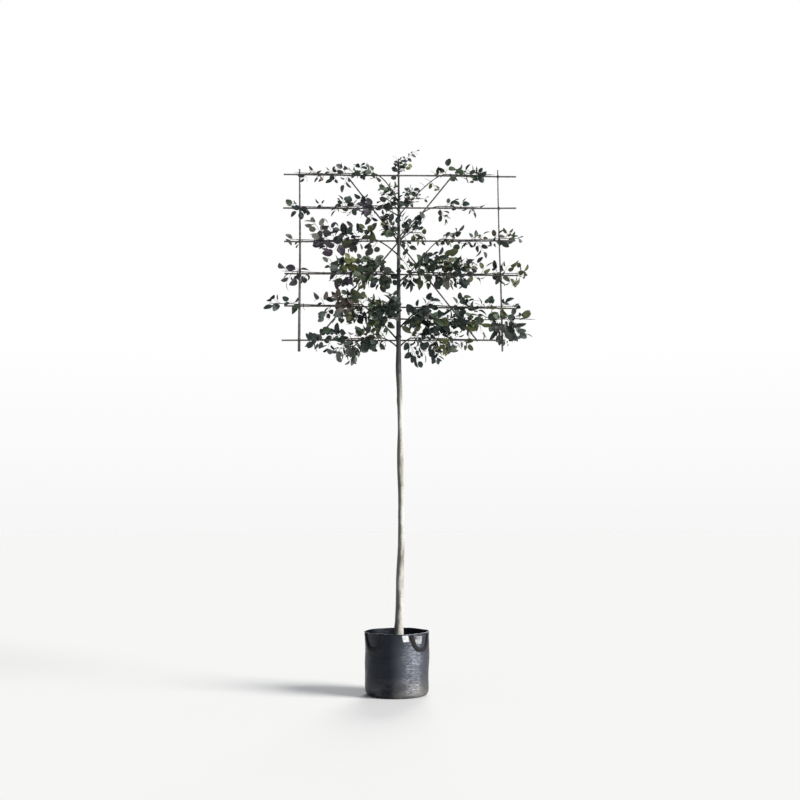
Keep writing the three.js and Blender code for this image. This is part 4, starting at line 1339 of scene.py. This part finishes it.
def mottled_material(name, colour, roughness, mottle, stops, bump, grain=None):
    """A surface mottled in the stops' colours. Its relief follows the mottling or its own grain."""
    look = Look(name, colour, roughness)
    mottling = look.noise(*mottle)
    look.shade({"Base Color": look.ramp(mottling, stops)})
    look.bump(look.noise(*grain) if grain else mottling, *bump)
    return look.material


def young_bark_material():
    """Dark red-brown bark of limbs and twigs, greyer in patches."""
    return mottled_material(
        "young_bark", (0.055, 0.042, 0.036), 0.6, mottle=((30, 30, 30), 4), stops=[
            (0.35, (0.030, 0.022, 0.020)),
            (0.55, (0.070, 0.052, 0.044)),
            (0.75, (0.130, 0.115, 0.095)),
        ], grain=((300, 300, 300), 3), bump=(0.4, 0.0008))


def cane_material():
    """Weathered cane: grey-brown, mottled, with the finest grain."""
    look = Look("cane", (0.10, 0.085, 0.065), 0.6)
    mottle = look.noise((60, 60, 60), 5)
    look.shade({
        "Base Color": look.ramp(mottle, [
            (0.30, (0.055, 0.051, 0.046)),
            (0.50, (0.120, 0.114, 0.104)),
            (0.72, (0.230, 0.220, 0.200)),
        ]),
        "Roughness": look.range(mottle, 0.3, 0.7, 0.75, 0.45),
    })
    look.bump(look.noise((700, 700, 700), 2), 0.3, 0.0006)
    return look.material


def leaf_material(tint):
    """A leaf's blade: one plain tint, with gloss that varies and a fine net of raised veins."""
    colour, roughness = LEAF_TINTS[tint]
    look = Look("leaf_" + tint, colour, roughness)
    veins = look.noise((160, 160, 160), 3)
    look.shade({
        "Specular IOR Level": LEAF_SPECULAR,
        "Roughness": look.range(veins, 0.3, 0.7, roughness - 0.1, roughness + 0.15),
    })
    look.bump(veins, 0.35, 0.0012)
    return look.material


def pot_material():
    """Soft black plastic: glossy, finely creased, with dust low on the wall and in its folds, and a
    painted sheen in bluish streaks on the side that faces the key light.
    """
    look = Look("pot_plastic", PLASTIC_COLOUR, 0.3)
    place = look.place()
    height = look.along("Z", place)
    low = look.range(height, 0.0, 0.15, 0.75, 0.04)
    cloud = look.noise((9, 9, 14), 6, 0.65)
    dust = look.maths("MULTIPLY", low, look.range(cloud, 0.42, 0.70, 0, 1))
    dusty = look.mix(dust, PLASTIC_COLOUR, (0.15, 0.14, 0.12))
    # Painted sheen: a pale film stands in for the key light's highlight on the side that faces it,
    # even over that side and in streaks along the creases, fading under the rim.
    side = look.nodes.new("ShaderNodeVectorMath")
    side.operation = "DOT_PRODUCT"
    look.put(side, {0: place, 1: (*(part / POT_RADIUS for part in SLACK_AND_SHEEN_SIDE), 0)})
    facing = side.outputs["Value"]
    painted_even_sheen = look.range(facing, 0.68, 1.0, 0, 0.18, "SMOOTHSTEP")
    creases = look.noise((36, 36, 130), 6, 0.62)
    ragged = look.maths("MULTIPLY_ADD", cloud, 0.16, facing)
    edge = look.range(ragged, 0.98, 1.12, 0, 1, "SMOOTHSTEP")
    streaks = look.range(creases, 0.40, 0.66, 0.10, 1, "SMOOTHSTEP")
    dust_and_sheen = look.maths("MULTIPLY_ADD", edge, streaks, painted_even_sheen)
    below_rim = look.range(height, 0.22, 0.40, 1, 0.4, "SMOOTHSTEP")
    dust_and_sheen = look.maths("MULTIPLY", dust_and_sheen, below_rim)
    # Higher up the film is a bluish painted sheen; low on the wall it takes the warm colour of
    # dust.
    dust_and_sheen_colour = look.mix(low, (0.32, 0.345, 0.41), (0.42, 0.40, 0.36))
    look.shade({
        "Base Color": look.mix(dust_and_sheen, dusty, dust_and_sheen_colour),
        "Roughness": look.range(cloud, 0.35, 0.70, 0.26, 0.46),
        "Specular IOR Level": 0.3,
        "Specular Tint": (0.80, 0.88, 1),
    })
    look.bump(creases, 0.7, 0.004)
    return look.material


def webbing_material():
    """Black woven strap."""
    look = Look("webbing", (0.005, 0.005, 0.006), 0.85)
    weave = look.nodes.new("ShaderNodeTexWave")
    weave.wave_type = "BANDS"
    weave.bands_direction = "DIAGONAL"
    look.put(weave, {"Vector": look.place(), "Scale": 160, "Distortion": 1.5})
    bands = weave.outputs["Fac"]
    colours = [(0.2, (0.003, 0.003, 0.004)), (0.8, (0.010, 0.010, 0.012))]
    look.shade({"Base Color": look.ramp(bands, colours)})
    look.bump(bands, 0.6, 0.001)
    return look.material


def soil_material():
    """Dark moist compost with paler crumbs."""
    return mottled_material(
        "soil", (0.022, 0.016, 0.012), 0.95, mottle=((150, 150, 150), 6, 0.7), stops=[
            (0.35, (0.010, 0.007, 0.005)),
            (0.55, (0.034, 0.024, 0.017)),
            (0.75, (0.090, 0.065, 0.045)),
        ], bump=(0.9, 0.004))


def tie_material():
    """Dark purple-black soft tie tape."""
    return mottled_material(
        "tie_tape", (0.020, 0.016, 0.022), 0.5, mottle=((400, 400, 400), 3), stops=[
            (0.35, (0.012, 0.010, 0.014)),
            (0.70, (0.050, 0.042, 0.054)),
        ], bump=(0.3, 0.0008))


def card_material(name, dark, light):
    """Blank card, worn by the weather, from its dark stains to its light ground."""
    stops = [(0.35, dark), (0.60, light)]
    return mottled_material(name, light, 0.55, ((60, 60, 60), 5), stops, (0.2, 0.001))


# Building the plant

def solids(kind):
    """The names of the solids of one kind, which a piece replaces."""
    return [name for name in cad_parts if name.startswith(kind + "_")]


bark = bark_material()
young_bark = young_bark_material()
cane = cane_material()
plastic = pot_material()
webbing = webbing_material()
soil = soil_material()
tape = tie_material()
card = card_material("blank_card", (0.45, 0.45, 0.45), (0.70, 0.71, 0.73))
grey_card = card_material("blank_grey_card", (0.10, 0.105, 0.11), (0.36, 0.37, 0.37))

make_piece("trunk_bark", [trunk_shape()], bark, ["trunk"])
limbs = [limb_shape(limb) for limb in LIMBS]
right_top = next(limb for limb in LIMBS if limb["name"] == "right_1")
limbs += [bare_spur_shape(right_top, *spur) for spur in BARE_SPURS]
limbs.append(leader_shape())
make_piece("limbs", limbs, young_bark, solids("bough"))

foliage = Foliage()
for index, limb in enumerate(LIMBS):
    grow_limb(foliage, limb, seeded_random(FIRST_SEED + SEED_STEP * index))
grow_leader(foliage, seeded_random(LEADER_SEED))
make_piece("twigs", foliage.twigs, young_bark, solids("foliage"))
for tint, leaves in sorted(foliage.leaves.items()):
    make_piece("leaves_" + tint, leaves, leaf_material(tint), smooth=False)

canes = [row_shape(row) for row in range(len(ROW_HEIGHTS))]
canes += [post_shape(post, index) for index, post in enumerate(POSTS)]
canes += [brace_shape(brace) for brace in BRACES]
make_piece("canes", canes, cane, solids("cane"))
make_piece("rack_ties", rack_ties(), tape)
make_piece("trunk_ties", trunk_ties(), tape)

make_piece("pot_wall", [pot_shape()], plastic, ["pot"])
make_piece("pot_hem", [hem_shape()], plastic)
handles = [handle_shape(middle) for middle in HANDLE_MIDDLES]
make_piece("handles", handles, webbing, solids("handle"))
make_piece("blank_patch", [patch_shape(LIGHT_PATCH)], card)
make_piece("blank_grey_patch", [patch_shape(GREY_PATCH)], grey_card)
make_piece("soil_top", [soil_shape()], soil, ["soil"])
make_piece("soil_crumbs", soil_crumbs(), soil, smooth=False)


# Floor, light and camera

def floor_piece():
    """A wide round floor."""
    rim = [round_point(FLOOR_RADIUS, angle, 0) for angle in angles_round(FLOOR_SIDES)]
    mesh = bpy.data.meshes.new("floor")
    mesh.from_pydata(rim, [], [tuple(range(FLOOR_SIDES))])
    look = Look("floor_white", (0.76, 0.76, 0.755), 1.0)
    look.shade({"Specular IOR Level": 0})
    mesh.materials.append(look.material)
    add_object("floor", mesh)


def studio_world():
    """A bright surround as the camera sees it, which meets the floor, and a dimmer one as light."""
    world = bpy.data.worlds.new("studio")
    world.use_nodes = True
    bpy.context.scene.world = world
    tree = NodeTree(world.node_tree)
    light = tree.nodes["Background"]
    tree.put(light, {"Color": (0.80, 0.88, 1.0), "Strength": 0.28})
    upward = tree.along("Z", tree.add("TexCoord", "Generated", {}))
    glow = tree.range(upward, 0, 0.15, 0.93, 1.0)
    seen = tree.add("Background", "Background", {"Color": (1, 1, 1), "Strength": glow})
    from_camera = tree.add("LightPath", "Is Camera Ray", {})
    values = {"Fac": from_camera, 1: light.outputs["Background"], 2: seen}
    tree.put(tree.nodes["World Output"], {"Surface": tree.add("MixShader", "Shader", values)})


def sun_light(name, heading, strength):
    """A soft light from far away that travels along the heading."""
    light = bpy.data.lights.new(name, "SUN")
    light.energy = strength
    light.angle = radians(28)
    light.color = (1, 0.975, 0.94)
    sun = add_object(name, light)
    sun.rotation_euler = Vector(heading).to_track_quat("-Z", "Y").to_euler()


def camera():
    """A camera before the plant, tilted up very slightly, with the photograph's frame."""
    data = bpy.data.cameras.new("camera")
    data.sensor_width = 36
    data.lens = 49.4
    data.shift_y = 0.093
    data.clip_end = 200
    view = add_object("camera", data)
    view.location = (0.0192, -7, 1.15)
    view.rotation_euler = (radians(92), 0, 0)
    bpy.context.scene.camera = view


floor_piece()
studio_world()
sun_light("key_light", (-0.90, 0.35, -0.48), 5.0)
sun_light("back_light", (-0.15, -1.0, -0.45), 2.2)
camera()
bpy.context.scene.view_settings.view_transform = "Standard"
